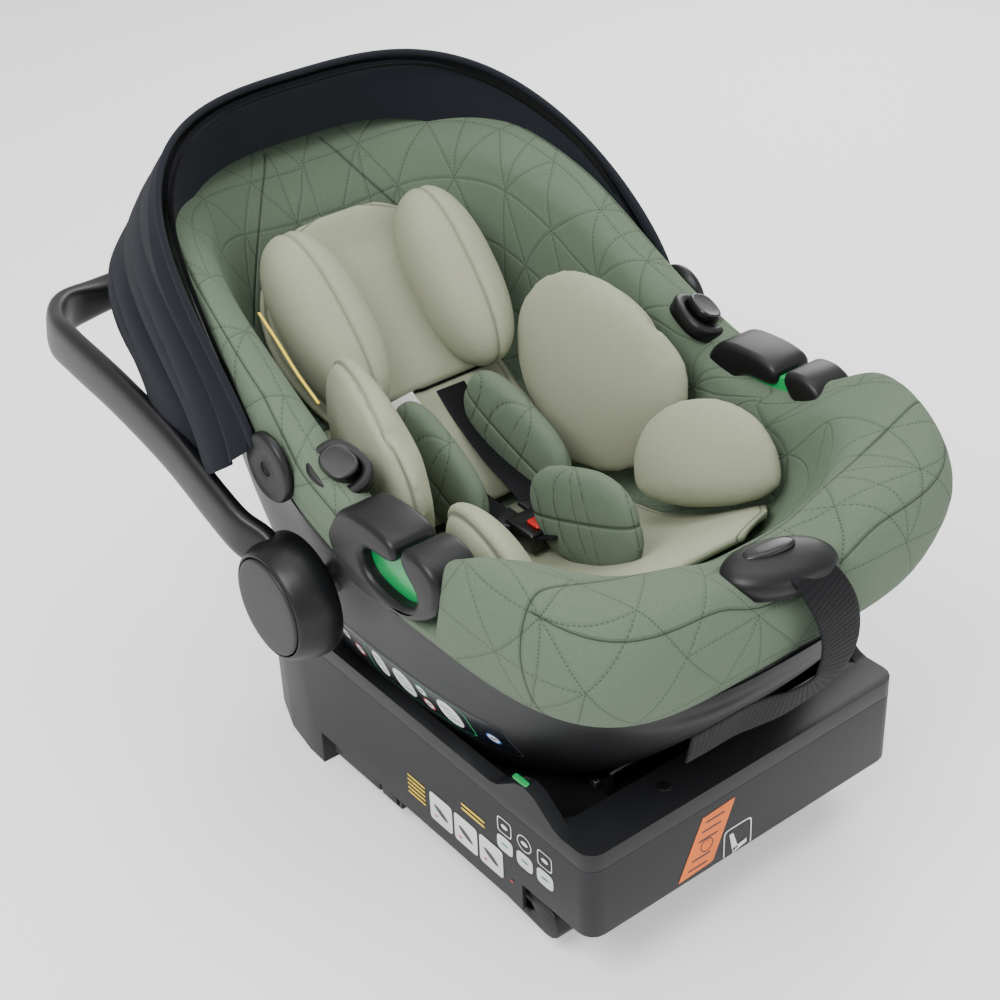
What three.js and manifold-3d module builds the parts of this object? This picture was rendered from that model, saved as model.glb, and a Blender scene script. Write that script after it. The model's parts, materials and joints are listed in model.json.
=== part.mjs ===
// Infant car seat: a rear-facing carrier with a folded-back handle and a canopy, standing in its car base.
// Millimetres, +Z up, -Y is the foot end and +Y the head end. The seat is built about its own hub line and
// then moved so that the origin is the middle of its footprint.
import * as THREE from 'three';
import { mergeVertices } from 'three/addons/utils/BufferGeometryUtils.js';
import Module from 'manifold-3d';

// ---------- Driving dimensions ----------
const ORIGIN_SHIFT_Y = -60;       // moves the hub line so that the footprint is centred
const GAP = 0.4;                  // clearance between pieces that touch
const RING_POINTS = 40;           // points round each ring of the bucket

const BASE_HALF_WIDTH = 162;
const BASE_FRONT_Y = -275;
const BASE_HEAD_Y = 240;
const BASE_SEAM_Z = 125;
const BASE_RIM_Z = 141;
const BASE_WALL = 4;
const SKIRT_Z = 34;               // lower edge of the side walls, above the connector arms
const FRONT_WALL_Z = 60;          // lower edge of the front wall
const KEEL_HALF_WIDTH = 104;
const KEEL_FRONT_Y = -195;
const CRADLE_HALF_WIDTH = 149;
const CRADLE_FRONT_Y = -232;
const CRADLE_HEAD_Y = 214;
const CRADLE_FLOOR_Z = 87;
const FRONT_BAR_Y = -174;         // bars in the cradle that the carrier's latches hold
const HEAD_BAR_Y = 118;
const LOCK_BAR_Z = 95;
const FRONT_HOOK = { y: -161, z: 122 };
const HEAD_HOOK = { y: 105, z: 124 };

const ARM_X = 139;                // half of the 280 mm spacing of the anchor connectors, less 1 mm of skirt
const ARM_WIDTH = 31;
const ARM_PIVOT = { y: -214, z: 30 };
const ARM_TILT = 0.118;
const ARM_RADIUS = 15;
const ARM_LENGTH = 186;
const CONNECTOR_LENGTH = 98;

const LEG_PIVOT = { y: 186, z: 19 };
const LEG_WIDTH = 46;
const LEG_HEIGHT = 26;
const LEG_LENGTH = 246;
const TUNNEL_HALF_WIDTH = 30;
const TUNNEL_TOP_Z = 36;

const HUB = { y: 12, z: 243 };
const HUB_INNER_X = 198;
const HUB_OUTER_X = 238;
const HUB_RADIUS = 51;
const HUB_BUTTON_RADIUS = 40;
const AXLE_RADIUS = 12;
const HANDLE_X = 226;
const HANDLE_THICKNESS = 17;
const HANDLE_WIDTH = 44;
const GRIP_Y = 423.75;
const GRIP_Z = 327;

const CANOPY_PIVOT = { x: 209, y: 31, z: 349 };
const CANOPY_STEPS = 20;
const WEBBING_WIDTH = 38;
const WEBBING_THICKNESS = 2;

const black = { color: 0x1b1c1e, roughness: 0.55 };
const shellGrey = { color: 0x26282b, roughness: 0.6 };
const baseGrey = { color: 0x3a3d40, roughness: 0.62 };
const sage = { color: 0x6f7f69, roughness: 0.95 };
const beige = { color: 0xa6aa91, roughness: 0.95 };
const darkGreen = { color: 0x47523f, roughness: 0.95 };
const charcoal = { color: 0x25282f, roughness: 0.95 };
const webbing = { color: 0x17181a, roughness: 0.9 };
const steel = { color: 0xb4b6b8, roughness: 0.35, metalness: 1 };
const signalGreen = { color: 0x18a04a, roughness: 0.45 };
const signalRed = { color: 0xc7281f, roughness: 0.45 };
const foam = { color: 0xe9e9e6, roughness: 0.9 };

// ---------- Solids ----------
const wasm = await Module();
wasm.setup();

function toManifold(geometry) {
  const plain = geometry.clone();
  plain.deleteAttribute('normal');
  plain.deleteAttribute('uv');
  const merged = mergeVertices(plain, 1e-4);
  return new wasm.Manifold(new wasm.Mesh({
    numProp: 3,
    vertProperties: new Float32Array(merged.attributes.position.array),
    triVerts: new Uint32Array(merged.index.array),
  }));
}

function toGeometry(manifold) {
  const mesh = manifold.getMesh();
  const geometry = new THREE.BufferGeometry();
  geometry.setAttribute('position', new THREE.BufferAttribute(new Float32Array(mesh.vertProperties), 3));
  geometry.setIndex(new THREE.BufferAttribute(new Uint32Array(mesh.triVerts), 1));
  geometry.computeVertexNormals();
  return geometry;
}

function join(...geometries) {
  return toGeometry(geometries.map(toManifold).reduce((sum, next) => sum.add(next)));
}

function cut(geometry, ...tools) {
  const whole = toManifold(geometry);
  return toGeometry(tools.map(toManifold).reduce((rest, tool) => rest.subtract(tool), whole));
}

function common(a, b) {
  return toGeometry(toManifold(a).intersect(toManifold(b)));
}

function box(x0, x1, y0, y1, z0, z1) {
  const geometry = new THREE.BoxGeometry(x1 - x0, y1 - y0, z1 - z0);
  geometry.translate((x0 + x1) / 2, (y0 + y1) / 2, (z0 + z1) / 2);
  return geometry;
}

// A prism along X: the outline holds [y, z] points.
function prismX(outline, x0, x1) {
  const shape = new THREE.Shape(outline.map(([y, z]) => new THREE.Vector2(y, z)));
  const geometry = new THREE.ExtrudeGeometry(shape, { depth: x1 - x0, bevelEnabled: false });
  geometry.applyMatrix4(new THREE.Matrix4().makeBasis(
    new THREE.Vector3(0, 1, 0), new THREE.Vector3(0, 0, 1), new THREE.Vector3(1, 0, 0)));
  geometry.translate(x0, 0, 0);
  return geometry;
}

// A prism along Z: the outline holds [x, y] points.
function prismZ(outline, z0, z1) {
  const shape = new THREE.Shape(outline.map(([x, y]) => new THREE.Vector2(x, y)));
  const geometry = new THREE.ExtrudeGeometry(shape, { depth: z1 - z0, bevelEnabled: false });
  geometry.translate(0, 0, z0);
  return geometry;
}

// A round bar along X.
function rodX(radius, x0, x1, y, z, sides = 20) {
  const geometry = new THREE.CylinderGeometry(radius, radius, x1 - x0, sides);
  geometry.rotateZ(Math.PI / 2);
  geometry.translate((x0 + x1) / 2, y, z);
  return geometry;
}

// A stadium-shaped prism, centred on the origin, long in Y, from z0 to z1.
function stadium(length, width, z0, z1, arcSteps = 6) {
  const outline = [];
  const radius = width / 2;
  const reach = length / 2 - radius;
  for (let end = 0; end < 2; end += 1) {
    for (let step = 0; step <= arcSteps; step += 1) {
      const angle = end * Math.PI + Math.PI * step / arcSteps;
      outline.push([radius * Math.cos(angle), (end ? -reach : reach) + radius * Math.sin(angle)]);
    }
  }
  return prismZ(outline, z0, z1);
}

function mirrorX(geometry) {
  const mirrored = geometry.index ? geometry.toNonIndexed() : geometry.clone();
  mirrored.deleteAttribute('normal');
  mirrored.deleteAttribute('uv');
  const position = mirrored.attributes.position;
  for (let corner = 0; corner < position.count; corner += 3) {
    const a = new THREE.Vector3().fromBufferAttribute(position, corner);
    const b = new THREE.Vector3().fromBufferAttribute(position, corner + 1);
    const c = new THREE.Vector3().fromBufferAttribute(position, corner + 2);
    [a, c, b].forEach((point, k) => position.setXYZ(corner + k, -point.x, point.y, point.z));
  }
  return toGeometry(toManifold(mirrored));
}

// Value of a profile of [y, value] points at y, joined by straight lines.
function along(profile, y) {
  if (y <= profile[0][0]) return profile[0][1];
  for (let k = 1; k < profile.length; k += 1) {
    const [y0, v0] = profile[k - 1];
    const [y1, v1] = profile[k];
    if (y <= y1) return v0 + (v1 - v0) * (y - y0) / (y1 - y0);
  }
  return profile[profile.length - 1][1];
}

// Closed solid from equal rings of points. Each end is closed by strips between mirrored points.
function ringSolid(rings) {
  const count = rings[0].length;
  const positions = rings.flat(2);
  const index = [];
  for (let ring = 0; ring + 1 < rings.length; ring += 1) {
    for (let k = 0; k < count; k += 1) {
      const next = (k + 1) % count;
      const a = ring * count + k;
      const b = ring * count + next;
      index.push(a, b, b + count, a, b + count, a + count);
    }
  }
  [0, rings.length - 1].forEach((ring, end) => {
    const start = ring * count;
    for (let k = 0; k < count / 2; k += 1) {
      const left = start + k;
      const leftNext = start + k + 1;
      const right = start + (count - k) % count;
      const rightNext = start + count - k - 1;
      const triangles = [];
      if (k > 0) triangles.push([left, right, leftNext]);
      if (leftNext !== rightNext) triangles.push([leftNext, right, rightNext]);
      triangles.forEach(([a, b, c]) => index.push(...(end ? [a, c, b] : [a, b, c])));
    }
  });
  const geometry = new THREE.BufferGeometry();
  geometry.setAttribute('position', new THREE.BufferAttribute(new Float32Array(positions), 3));
  geometry.setIndex(index);
  const solid = toManifold(geometry);
  if (solid.volume() > 0) return toGeometry(solid);
  const flipped = [];
  for (let k = 0; k < index.length; k += 3) flipped.push(index[k], index[k + 2], index[k + 1]);
  geometry.setIndex(flipped);
  return toGeometry(toManifold(geometry));
}

// One ring of the bucket: a rounded plan outline whose height follows a profile along Y.
// The front is squarer than the head end. Point 0 is the head-end middle.
function bucketRing([halfWidth, frontY, headY, heights, frontPower = 3.2], grow = 0, lift = 0) {
  const middle = (frontY + headY) / 2;
  const reach = (headY - frontY) / 2 + grow;
  const points = [];
  for (let k = 0; k < RING_POINTS; k += 1) {
    const angle = 2 * Math.PI * k / RING_POINTS;
    const power = 2 / (Math.cos(angle) > 0 ? 2.8 : frontPower);
    const x = (halfWidth + grow) * Math.sign(Math.sin(angle)) * Math.abs(Math.sin(angle)) ** power;
    const y = middle + reach * Math.sign(Math.cos(angle)) * Math.abs(Math.cos(angle)) ** power;
    points.push([k % (RING_POINTS / 2) ? x : 0, y, along(heights, y) + lift]);
  }
  return points;
}

// A tapering bar along a path. Each station is { at, side, up, width, height } with a rounded section.
function sweep(stations, sides = 10, roundness = 3) {
  return ringSolid(stations.map(({ at, side, up, width, height }) => {
    const ring = [];
    for (let k = 0; k < sides; k += 1) {
      const angle = 2 * Math.PI * k / sides;
      const u = width / 2 * Math.sign(Math.sin(angle)) * Math.abs(Math.sin(angle)) ** (2 / roundness);
      const v = height / 2 * Math.sign(Math.cos(angle)) * Math.abs(Math.cos(angle)) ** (2 / roundness);
      ring.push([0, 1, 2].map((axis) => at[axis] + side[axis] * u + up[axis] * v));
    }
    return ring;
  }));
}

// Stations along a smooth curve through the points. side is the fixed direction of the width.
function stationsAlong(points, steps, side, width, height) {
  const curve = new THREE.CatmullRomCurve3(points.map((point) => new THREE.Vector3(...point)));
  const stations = [];
  for (let k = 0; k <= steps; k += 1) {
    const t = k / steps;
    const tangent = curve.getTangentAt(t);
    const across = new THREE.Vector3(...side(t));
    across.addScaledVector(tangent, -across.dot(tangent)).normalize();
    const up = new THREE.Vector3().crossVectors(tangent, across).normalize();
    stations.push({
      at: curve.getPointAt(t).toArray(),
      side: across.toArray(),
      up: up.toArray(),
      width: width(t),
      height: height(t),
    });
  }
  return stations;
}

function ribbon(points, steps, side, width = WEBBING_WIDTH, thickness = WEBBING_THICKNESS) {
  return sweep(stationsAlong(points, steps, side, () => width, () => thickness), 4, 2);
}

// A cushion: a rounded cushion-shaped ball with full widths [x, y, z], turned about X and then Z.
function cushion(size, place, tiltX = 0, turnZ = 0, leanY = 0) {
  const ball = new THREE.SphereGeometry(1, 14, 9);
  const position = ball.attributes.position;
  for (let k = 0; k < position.count; k += 1) {
    const point = [position.getX(k), position.getY(k), position.getZ(k)]
      .map((value, axis) => Math.sign(value) * Math.abs(value) ** 0.75 * size[axis] / 2);
    position.setXYZ(k, ...point);
  }
  ball.rotateY(leanY);
  ball.rotateX(tiltX);
  ball.rotateZ(turnZ);
  ball.translate(...place);
  return toGeometry(toManifold(ball));
}

// A flexible pad that follows a curve in the plane X = 0, crowned at its edges.
function curvedPad(points, halfWidth, thickness, steps = 6) {
  const across = () => [1, 0, 0];
  const taper = (t) => 1 - 0.35 * Math.abs(2 * t - 1) ** 6;
  const path = points.map(([y, z]) => [0, y, z]);
  return sweep(stationsAlong(path, steps, across, (t) => 2 * halfWidth * taper(t), () => thickness), 12, 3);
}

// ---------- Scene graph ----------
const seat = new THREE.Group();

function add(name, geometry, look) {
  const mesh = new THREE.Mesh(geometry, new THREE.MeshStandardMaterial(look));
  mesh.name = name;
  seat.add(mesh);
}

// Adds a right piece (+X) and its mirror image on the left.
function addPair(name, geometry, look) {
  add(`${name}_right`, geometry, look);
  add(`${name}_left`, mirrorX(geometry), look);
}

// ---------- Base ----------
// Plan outline of the base, drawn in by inset: square at the foot end, rounded at the head end.
function basePlan(inset = 0, frontY = BASE_FRONT_Y, headY = BASE_HEAD_Y, halfWidth = BASE_HALF_WIDTH) {
  const width = halfWidth - inset;
  const front = frontY + inset;
  const head = headY - inset;
  const bendStart = 40;
  const corner = 14;
  const right = [];
  for (let k = 0; k <= 4; k += 1) {
    const angle = -Math.PI / 2 + Math.PI / 2 * k / 4;
    right.push([width - corner + corner * Math.cos(angle), front + corner + corner * Math.sin(angle)]);
  }
  for (let k = 0; k <= 8; k += 1) {
    const angle = Math.PI / 2 * k / 8;
    const power = 2 / 3;
    const y = bendStart + (head - bendStart) * Math.sin(angle) ** power;
    right.push([width * Math.cos(angle) ** power, y]);
  }
  const left = right.slice(0, -1).reverse().map(([x, y]) => [-x, y]);
  right[right.length - 1][0] = 0;
  return [...right, ...left];
}

function buildBase() {
  const sideProfile = [
    [BASE_FRONT_Y, FRONT_WALL_Z], [BASE_FRONT_Y, BASE_SEAM_Z],
    [BASE_HEAD_Y, BASE_SEAM_Z], [BASE_HEAD_Y, 96],
    [226, 56], [203, 22], [172, 5], [142, 0], [KEEL_FRONT_Y, 0], [KEEL_FRONT_Y, FRONT_WALL_Z],
  ];
  const block = common(
    prismZ(basePlan(), 0, BASE_SEAM_Z),
    prismX(sideProfile.reverse(), -BASE_HALF_WIDTH - 1, BASE_HALF_WIDTH + 1));
  const recessTop = 72;
  const armRecess = join(
    box(KEEL_HALF_WIDTH, BASE_HALF_WIDTH - BASE_WALL, -262, 84, -1, recessTop),
    box(KEEL_HALF_WIDTH, BASE_HALF_WIDTH + 1, -280, 84, -1, SKIRT_Z));
  const cavity = join(
    prismZ(basePlan(BASE_WALL), recessTop + BASE_WALL, BASE_SEAM_Z + 1),
    box(-KEEL_HALF_WIDTH + BASE_WALL, KEEL_HALF_WIDTH - BASE_WALL, -190, 140, 56, recessTop + 6));
  const pocket = box(TUNNEL_HALF_WIDTH + 4, KEEL_HALF_WIDTH - BASE_WALL, -190, 134, 4, 60);
  const tunnel = join(
    box(-TUNNEL_HALF_WIDTH, TUNNEL_HALF_WIDTH, -300, 260, -1, TUNNEL_TOP_Z),
    box(-50, 50, -300, -108, -1, 52));
  const pinHole = rodX(4 + GAP, -60, 60, LEG_PIVOT.y, LEG_PIVOT.z);
  const pivotLug = cut(
    box(KEEL_HALF_WIDTH - 2, ARM_X - ARM_WIDTH / 2 - GAP,
      ARM_PIVOT.y - 14, ARM_PIVOT.y + 14, 8, recessTop + 2),
    rodX(5 + GAP, 80, 160, ARM_PIVOT.y, ARM_PIVOT.z));
  const frontWeb = box(
    -KEEL_HALF_WIDTH, KEEL_HALF_WIDTH, KEEL_FRONT_Y - 40, KEEL_FRONT_Y + 4, 62, recessTop + BASE_WALL);
  const hollow = cut(block, armRecess, mirrorX(armRecess), cavity, pocket, mirrorX(pocket));
  const housing = cut(
    join(hollow, frontWeb, pivotLug, mirrorX(pivotLug)),
    tunnel,
    pinHole,
    rodX(5 + GAP, 60, 160, ARM_PIVOT.y, ARM_PIVOT.z),
    rodX(5 + GAP, -160, -60, ARM_PIVOT.y, ARM_PIVOT.z));
  add('base_housing', housing, baseGrey);

  const cradlePlan = basePlan(0, CRADLE_FRONT_Y, CRADLE_HEAD_Y, CRADLE_HALF_WIDTH);
  const trayPlan = basePlan(-3, CRADLE_FRONT_Y, CRADLE_HEAD_Y, CRADLE_HALF_WIDTH);
  const hump = [];
  for (let k = 0; k <= 8; k += 1) {
    const y = -246 + 88 * k / 8;
    hump.push([y, BASE_RIM_Z - 1 + 22 * Math.sin(Math.PI * k / 8) ** 2]);
  }
  hump.push([-158, BASE_RIM_Z - 6], [-246, BASE_RIM_Z - 6]);
  const humpSolid = prismX(hump.reverse(), CRADLE_HALF_WIDTH + 0.5, BASE_HALF_WIDTH);
  const indicatorWell = box(151, 158, -196, -184, 146, 170);
  const cover = cut(
    join(
      prismZ(basePlan(), BASE_SEAM_Z + GAP, BASE_RIM_Z),
      prismZ(trayPlan, CRADLE_FLOOR_Z - 3, BASE_RIM_Z - 2),
      humpSolid,
      mirrorX(humpSolid)),
    prismZ(cradlePlan, CRADLE_FLOOR_Z, BASE_RIM_Z + 30),
    mirrorX(indicatorWell));
  const saddle = prismX([[-186, 86], [-162, 86], [-162, 92], [-168, 100], [-180, 100], [-186, 92]], 58, 68);
  const frontBarHole = rodX(4 + GAP, -90, 90, FRONT_BAR_Y, LOCK_BAR_Z);
  const headSaddle = prismX([[106, 86], [130, 86], [130, 92], [124, 100], [112, 100], [106, 92]], 58, 68);
  const headBarHole = rodX(4 + GAP, -90, 90, HEAD_BAR_Y, LOCK_BAR_Z);
  const saddled = join(cover, saddle, mirrorX(saddle), headSaddle, mirrorX(headSaddle));
  add('base_cover', cut(saddled, frontBarHole, headBarHole), baseGrey);
  add('lock_bar_front', rodX(4, -72, 72, FRONT_BAR_Y, LOCK_BAR_Z, 12), steel);
  add('lock_bar_head', rodX(4, -72, 72, HEAD_BAR_Y, LOCK_BAR_Z, 12), steel);

  add('indicator_flag', box(-157.2, -151.8, -195, -185, 148, 153), signalRed);
}

// ---------- Anchor connectors ----------
function armLocal(geometry) {
  const placed = geometry.clone();
  placed.rotateX(ARM_TILT);
  placed.translate(0, ARM_PIVOT.y, ARM_PIVOT.z);
  return placed;
}

function buildConnectors() {
  const x0 = ARM_X - ARM_WIDTH / 2;
  const x1 = ARM_X + ARM_WIDTH / 2;
  const outline = [];
  for (let k = 0; k <= 6; k += 1) {
    const angle = Math.PI / 2 + Math.PI * k / 6;
    outline.push([ARM_RADIUS * Math.cos(angle), ARM_RADIUS * Math.sin(angle)]);
  }
  outline.push([ARM_LENGTH, -ARM_RADIUS], [ARM_LENGTH, ARM_RADIUS]);
  const slot = prismX([[20, -5], [150, -5], [156, 0], [150, 5], [20, 5], [14, 0]], x1 - 6, x1 + 1);
  const bore = rodX(5 + GAP, x0 - 1, x1 - 4, 0, 0);
  addPair('anchor_arm', armLocal(cut(prismX(outline, x0, x1), slot, bore)), shellGrey);

  const pin = rodX(5, KEEL_HALF_WIDTH - 1, x1 - 4.5, ARM_PIVOT.y, ARM_PIVOT.z, 16);
  addPair('arm_pivot_pin', pin, steel);

  const start = -26.6;
  const end = start + CONNECTOR_LENGTH;
  const low = 17;
  const high = 54;
  const jaw = box(x0 + 10, x1 - 10, end - 24, end + 1, low + 10, high - 10);
  const rib = box(x1, x1 + 3, end - 70, end - 66, low - 1, high);
  const body = box(x0 + 1, x1 + 1, start, end, low, high);
  const buttonWell = box(x1 - 5, x1 + 2, start + 4, start + 26, low + 1.5, low + 16);
  addPair('anchor_connector', cut(body, jaw, rib, buttonWell), black);
  addPair('anchor_button', box(x1 - 1, x1 + 2.5, start + 5, start + 25, low + 2.5, low + 15), shellGrey);
}

// ---------- Support leg ----------
function buildLeg() {
  const half = LEG_HEIGHT / 2;
  const outline = [];
  for (let k = 0; k <= 6; k += 1) {
    const angle = -Math.PI / 2 + Math.PI * k / 6;
    outline.push([LEG_PIVOT.y + half * Math.cos(angle), LEG_PIVOT.z + half * Math.sin(angle)]);
  }
  const openEnd = LEG_PIVOT.y - LEG_LENGTH;
  outline.push([openEnd, LEG_PIVOT.z + half], [openEnd, LEG_PIVOT.z - half]);
  const bore = box(-20, 20, openEnd - 1, LEG_PIVOT.y - 16, LEG_PIVOT.z - 10, LEG_PIVOT.z + 10);
  const buttonHole = box(-7 - GAP, 7 + GAP, openEnd + 14 - GAP, openEnd + 30 + GAP, 0, LEG_PIVOT.z - 5);
  add('support_leg_outer', cut(
    prismX(outline, -LEG_WIDTH / 2, LEG_WIDTH / 2), bore, buttonHole,
    rodX(4 + GAP, -40, 40, LEG_PIVOT.y, LEG_PIVOT.z)), shellGrey);
  add('leg_pivot_pin', rodX(4, -44, 44, LEG_PIVOT.y, LEG_PIVOT.z, 14), steel);
  const heightButton = box(-7, 7, openEnd + 14, openEnd + 30, LEG_PIVOT.z - half - 1.5, LEG_PIVOT.z - 9.6);
  add('leg_height_button', heightButton, signalGreen);
  add('support_leg_inner', cut(
    box(-17, 17, -112, 92, LEG_PIVOT.z - 6, LEG_PIVOT.z + 9.5),
    box(-14.5, 14.5, -108, 93, LEG_PIVOT.z - 3.5, LEG_PIVOT.z + 7)), steel);
  const foot = cut(
    box(-44, 44, -142, -112 - GAP, 3, 48),
    box(-36, 36, -143, -124, 9, 42));
  add('support_leg_foot', foot, black);
}

// ---------- Carrier shell, liner and cover ----------
// Rings of the bucket as [half width, foot-end Y, head-end Y, heights along Y, squareness of the foot end].
const SHELL_EDGE = [
  [-306, 262], [-240, 270], [-150, 280], [-60, 284],
  [0, 305], [100, 368], [200, 414], [320, 432],
];
const shellRings = [
  [196, -306, 320, SHELL_EDGE],
  [175, -290, 306, [[-290, 225], [-150, 230], [0, 238], [100, 285], [200, 345], [306, 385]]],
  [160, -258, 275, [[-258, 185], [-150, 180], [0, 178], [100, 195], [200, 262], [275, 330]]],
  [136, -200, 215, [[-200, 126], [0, 121], [100, 128], [215, 215]]],
  [112, -148, 165, [[-148, 97], [-60, 90], [60, 90], [165, 140]]],
];
const coverRings = [
  [200, -309, 323, SHELL_EDGE.map(([y, z]) => [y, z + 3])],
  [206, -316, 326, [[-316, 316], [-205, 342], [-150, 312], [-60, 318], [0, 338], [100, 398],
    [200, 441], [326, 452]], 7],
  [195, -303, 314, [[-303, 350], [-270, 370], [-210, 387], [-150, 338], [-60, 337], [0, 368], [60, 398],
    [124, 437], [198, 466], [260, 474], [314, 470]], 6],
  [168, -264, 294, [[-264, 348], [-200, 362], [-150, 328], [-60, 330], [0, 360], [100, 413],
    [198, 450], [294, 461]], 4],
  [158, -236, 280, [[-236, 303], [-150, 292], [0, 312], [100, 376], [200, 424], [280, 438]], 3.6],
  [147, -190, 252, [[-190, 264], [-100, 222], [0, 212], [100, 262], [200, 345], [252, 392]], 3.6],
  [122, -140, 226, [[-140, 230], [-60, 196], [0, 190], [53, 207], [121, 252], [206, 345], [226, 360]], 3.6],
];
const underRings = [
  [129, -148, 234, [[-148, 222], [-60, 187], [0, 181], [53, 197], [121, 241], [206, 334], [234, 354]], 3.6],
  [154.5, -200, 264, [[-200, 252], [-100, 212], [0, 202], [100, 250], [200, 333], [264, 384]], 3.6],
  [174, -272, 302, SHELL_EDGE.map(([y, z]) => [y, z + 2])],
];
const linerRings = [
  [136, -170, 214, [[-170, 192], [-60, 160], [53, 164], [121, 205], [214, 305]]],
  [154.5, -248, 262, [[-248, 193], [-150, 187], [0, 185], [100, 202], [200, 272], [262, 328]]],
  [167.5, -283, 299, [[-283, 226], [-150, 231], [0, 239], [100, 286], [200, 346], [299, 384]]],
  [189, -299, 313, SHELL_EDGE.map(([y, z]) => [y, z + 1.2])],
];

function beltGuideOutline() {
  return [
    [-38, 320], [-42, 331], [-62, 354], [-116, 356], [-122, 346],
    [-116, 338], [-86, 335], [-78, 322], [-89, 307],
    [-128, 303], [-147, 314], [-149, 330], [-136, 338], [-128, 346], [-131, 355], [-162, 359], [-202, 390],
    [-204, 382], [-177, 346], [-165, 318], [-134, 296], [-84, 290], [-52, 298],
  ];
}

function buttonPlace(geometry) {
  const placed = geometry.clone();
  const normal = new THREE.Vector3(0.34, -0.42, 0.84).normalize();
  const long = new THREE.Vector3(0, 0.89, 0.45);
  long.addScaledVector(normal, -long.dot(normal)).normalize();
  const wide = new THREE.Vector3().crossVectors(long, normal);
  placed.applyMatrix4(new THREE.Matrix4().makeBasis(wide, long, normal));
  placed.translate(184, -20, 356);
  return placed;
}

function buildBucket() {
  const inner = shellRings.map((ring, level) => bucketRing(ring, -3.5, [0, 0, 1.5, 3, 3.5][level]));
  const outer = shellRings.map((ring) => bucketRing(ring));
  const hull = ringSolid([...inner.reverse(), ...outer]);
  const fullBucket = ringSolid([...shellRings.map((ring, level) => (
    bucketRing(ring, -3, [2, 0, 1.5, 3, 3.5][level]))).reverse()]);
  const boss = cut(rodX(36, 140, HUB_INNER_X - 2, HUB.y, HUB.z, 28), fullBucket);
  const axleHole = rodX(AXLE_RADIUS + GAP, 160, 210, HUB.y, HUB.z);
  const latchSlotFront = box(-15.5, 15.5, -173, -142, 84, 118);
  const latchSlotHead = box(-15.5, 15.5, 88, 117, 84, 132);
  const frontLug = prismX([[-168, 110], [-154, 102.3], [-154, 129], [-168, 129]], 16, 21);
  const headLug = prismX([[98, 110], [112, 116.7], [112, 131], [98, 131]], 16, 21);
  const hookBores = [FRONT_HOOK, HEAD_HOOK].map(({ y, z }) => rodX(3 + GAP, -25, 25, y, z));
  const guideEnvelope = prismX(
    [[-206, 394], [-206, 378], [-166, 316], [-134, 294.5], [-84, 288.5], [-50, 297], [-36, 319], [-40, 332],
      [-60, 356], [-80, 394]], 181.5, 240);
  const buttonWell = buttonPlace(stadium(45, 31, -10.5, 40));
  const adjusterWell = box(-29, 29, -330, -280.5, 329.5, 400);
  const hubWell = rodX(HUB_RADIUS + 4, HUB_INNER_X - 1.5, 260, HUB.y, HUB.z, 28);
  const leverRail = cut(box(34.5, 39, 280, 329, 362, 404), fullBucket);
  const both = (tool) => [tool, mirrorX(tool)];

  const pierced = cut(
    join(hull, ...both(boss), ...both(leverRail)),
    ...both(axleHole), ...both(hubWell), ...both(guideEnvelope), latchSlotFront, latchSlotHead);
  add('seat_shell', cut(join(pierced, ...both(frontLug), ...both(headLug)), ...hookBores), shellGrey);

  const liner = ringSolid([
    ...underRings.map((ring) => bucketRing(ring, 0.8, -0.8)),
    ...[...linerRings].reverse().map((ring) => bucketRing(ring)),
  ]);
  add('foam_liner', cut(liner, ...both(guideEnvelope)), foam);

  const cover = ringSolid([
    ...underRings.map((ring) => bucketRing(ring)),
    ...coverRings.map((ring) => bucketRing(ring)),
  ]);
  add('seat_cover', cut(
    cover, ...both(guideEnvelope), ...both(buttonWell), ...both(hubWell), adjusterWell), sage);

  addPair('hub_axle', rodX(AXLE_RADIUS, 176, HUB_INNER_X + 10, HUB.y, HUB.z), steel);

  addPair('belt_guide', prismX(beltGuideOutline().reverse(), 183, 205), black);
  const channel = [
    [-118, 336.5], [-88, 334], [-79, 322], [-90, 308.5],
    [-127.5, 304.5], [-145.5, 315], [-147.5, 329], [-134, 336.5],
  ];
  addPair('belt_channel', prismX(channel.reverse(), 183, 188), signalGreen);

  const bezel = cut(stadium(44, 30, -10, 1.5), stadium(36, 22, -6, 3));
  addPair('rim_button_bezel', buttonPlace(bezel), black);
  addPair('rim_button', buttonPlace(stadium(35, 21, -1.5, 5)), black);

  const adjusterBody = cut(
    box(-28, 28, -318, -281, 330, 352),
    box(-18, 18, -308, -292, 342, 353),
    box(-21, 21, -319, -311, 336, 348));
  add('adjuster_bezel', adjusterBody, black);
  add('adjuster_button', box(-17.4, 17.4, -307.4, -292.6, 346, 355), black);
}

// ---------- Latches that hold the carrier in the base ----------
function hookProfile(direction, pivotY, pivotZ) {
  return [
    [0, 6], [direction * -6, 0], [direction * -3, -16], [direction * -8, -24],
    [direction * -4, -29], [direction * 5, -24], [direction * 6, 0],
  ].map(([y, z]) => [pivotY + y, pivotZ + z]);
}

function buildLatches() {
  const hooks = [['latch_hook_front', 1, FRONT_HOOK], ['latch_hook_head', -1, HEAD_HOOK]];
  hooks.forEach(([name, direction, { y, z }]) => {
    const outline = hookProfile(direction, y, z);
    const hook = prismX(direction > 0 ? outline : outline.reverse(), -14, 14);
    add(name, join(hook, rodX(3, -21, 21, y, z, 12)), steel);
  });
  const lever = cut(
    box(-34, 34, 315, 331, 370, 398),
    box(-26, 26, 305, 325, 366, 390));
  add('release_lever', lever, black);
}

// ---------- Handle ----------
function handlePath() {
  const side = [[HANDLE_X, 20, 258], [HANDLE_X, 80, 290], [HANDLE_X, 155, 317], [HANDLE_X, 235, 333],
    [HANDLE_X - 3, 318, 338], [HANDLE_X - 12, 368, 334], [HANDLE_X - 34, 404, 330],
    [HANDLE_X - 70, 419, GRIP_Z], [HANDLE_X - 120, GRIP_Y, GRIP_Z]];
  return [...side, [0, GRIP_Y, GRIP_Z], ...side.slice().reverse().map(([x, y, z]) => [-x, y, z])];
}

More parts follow.
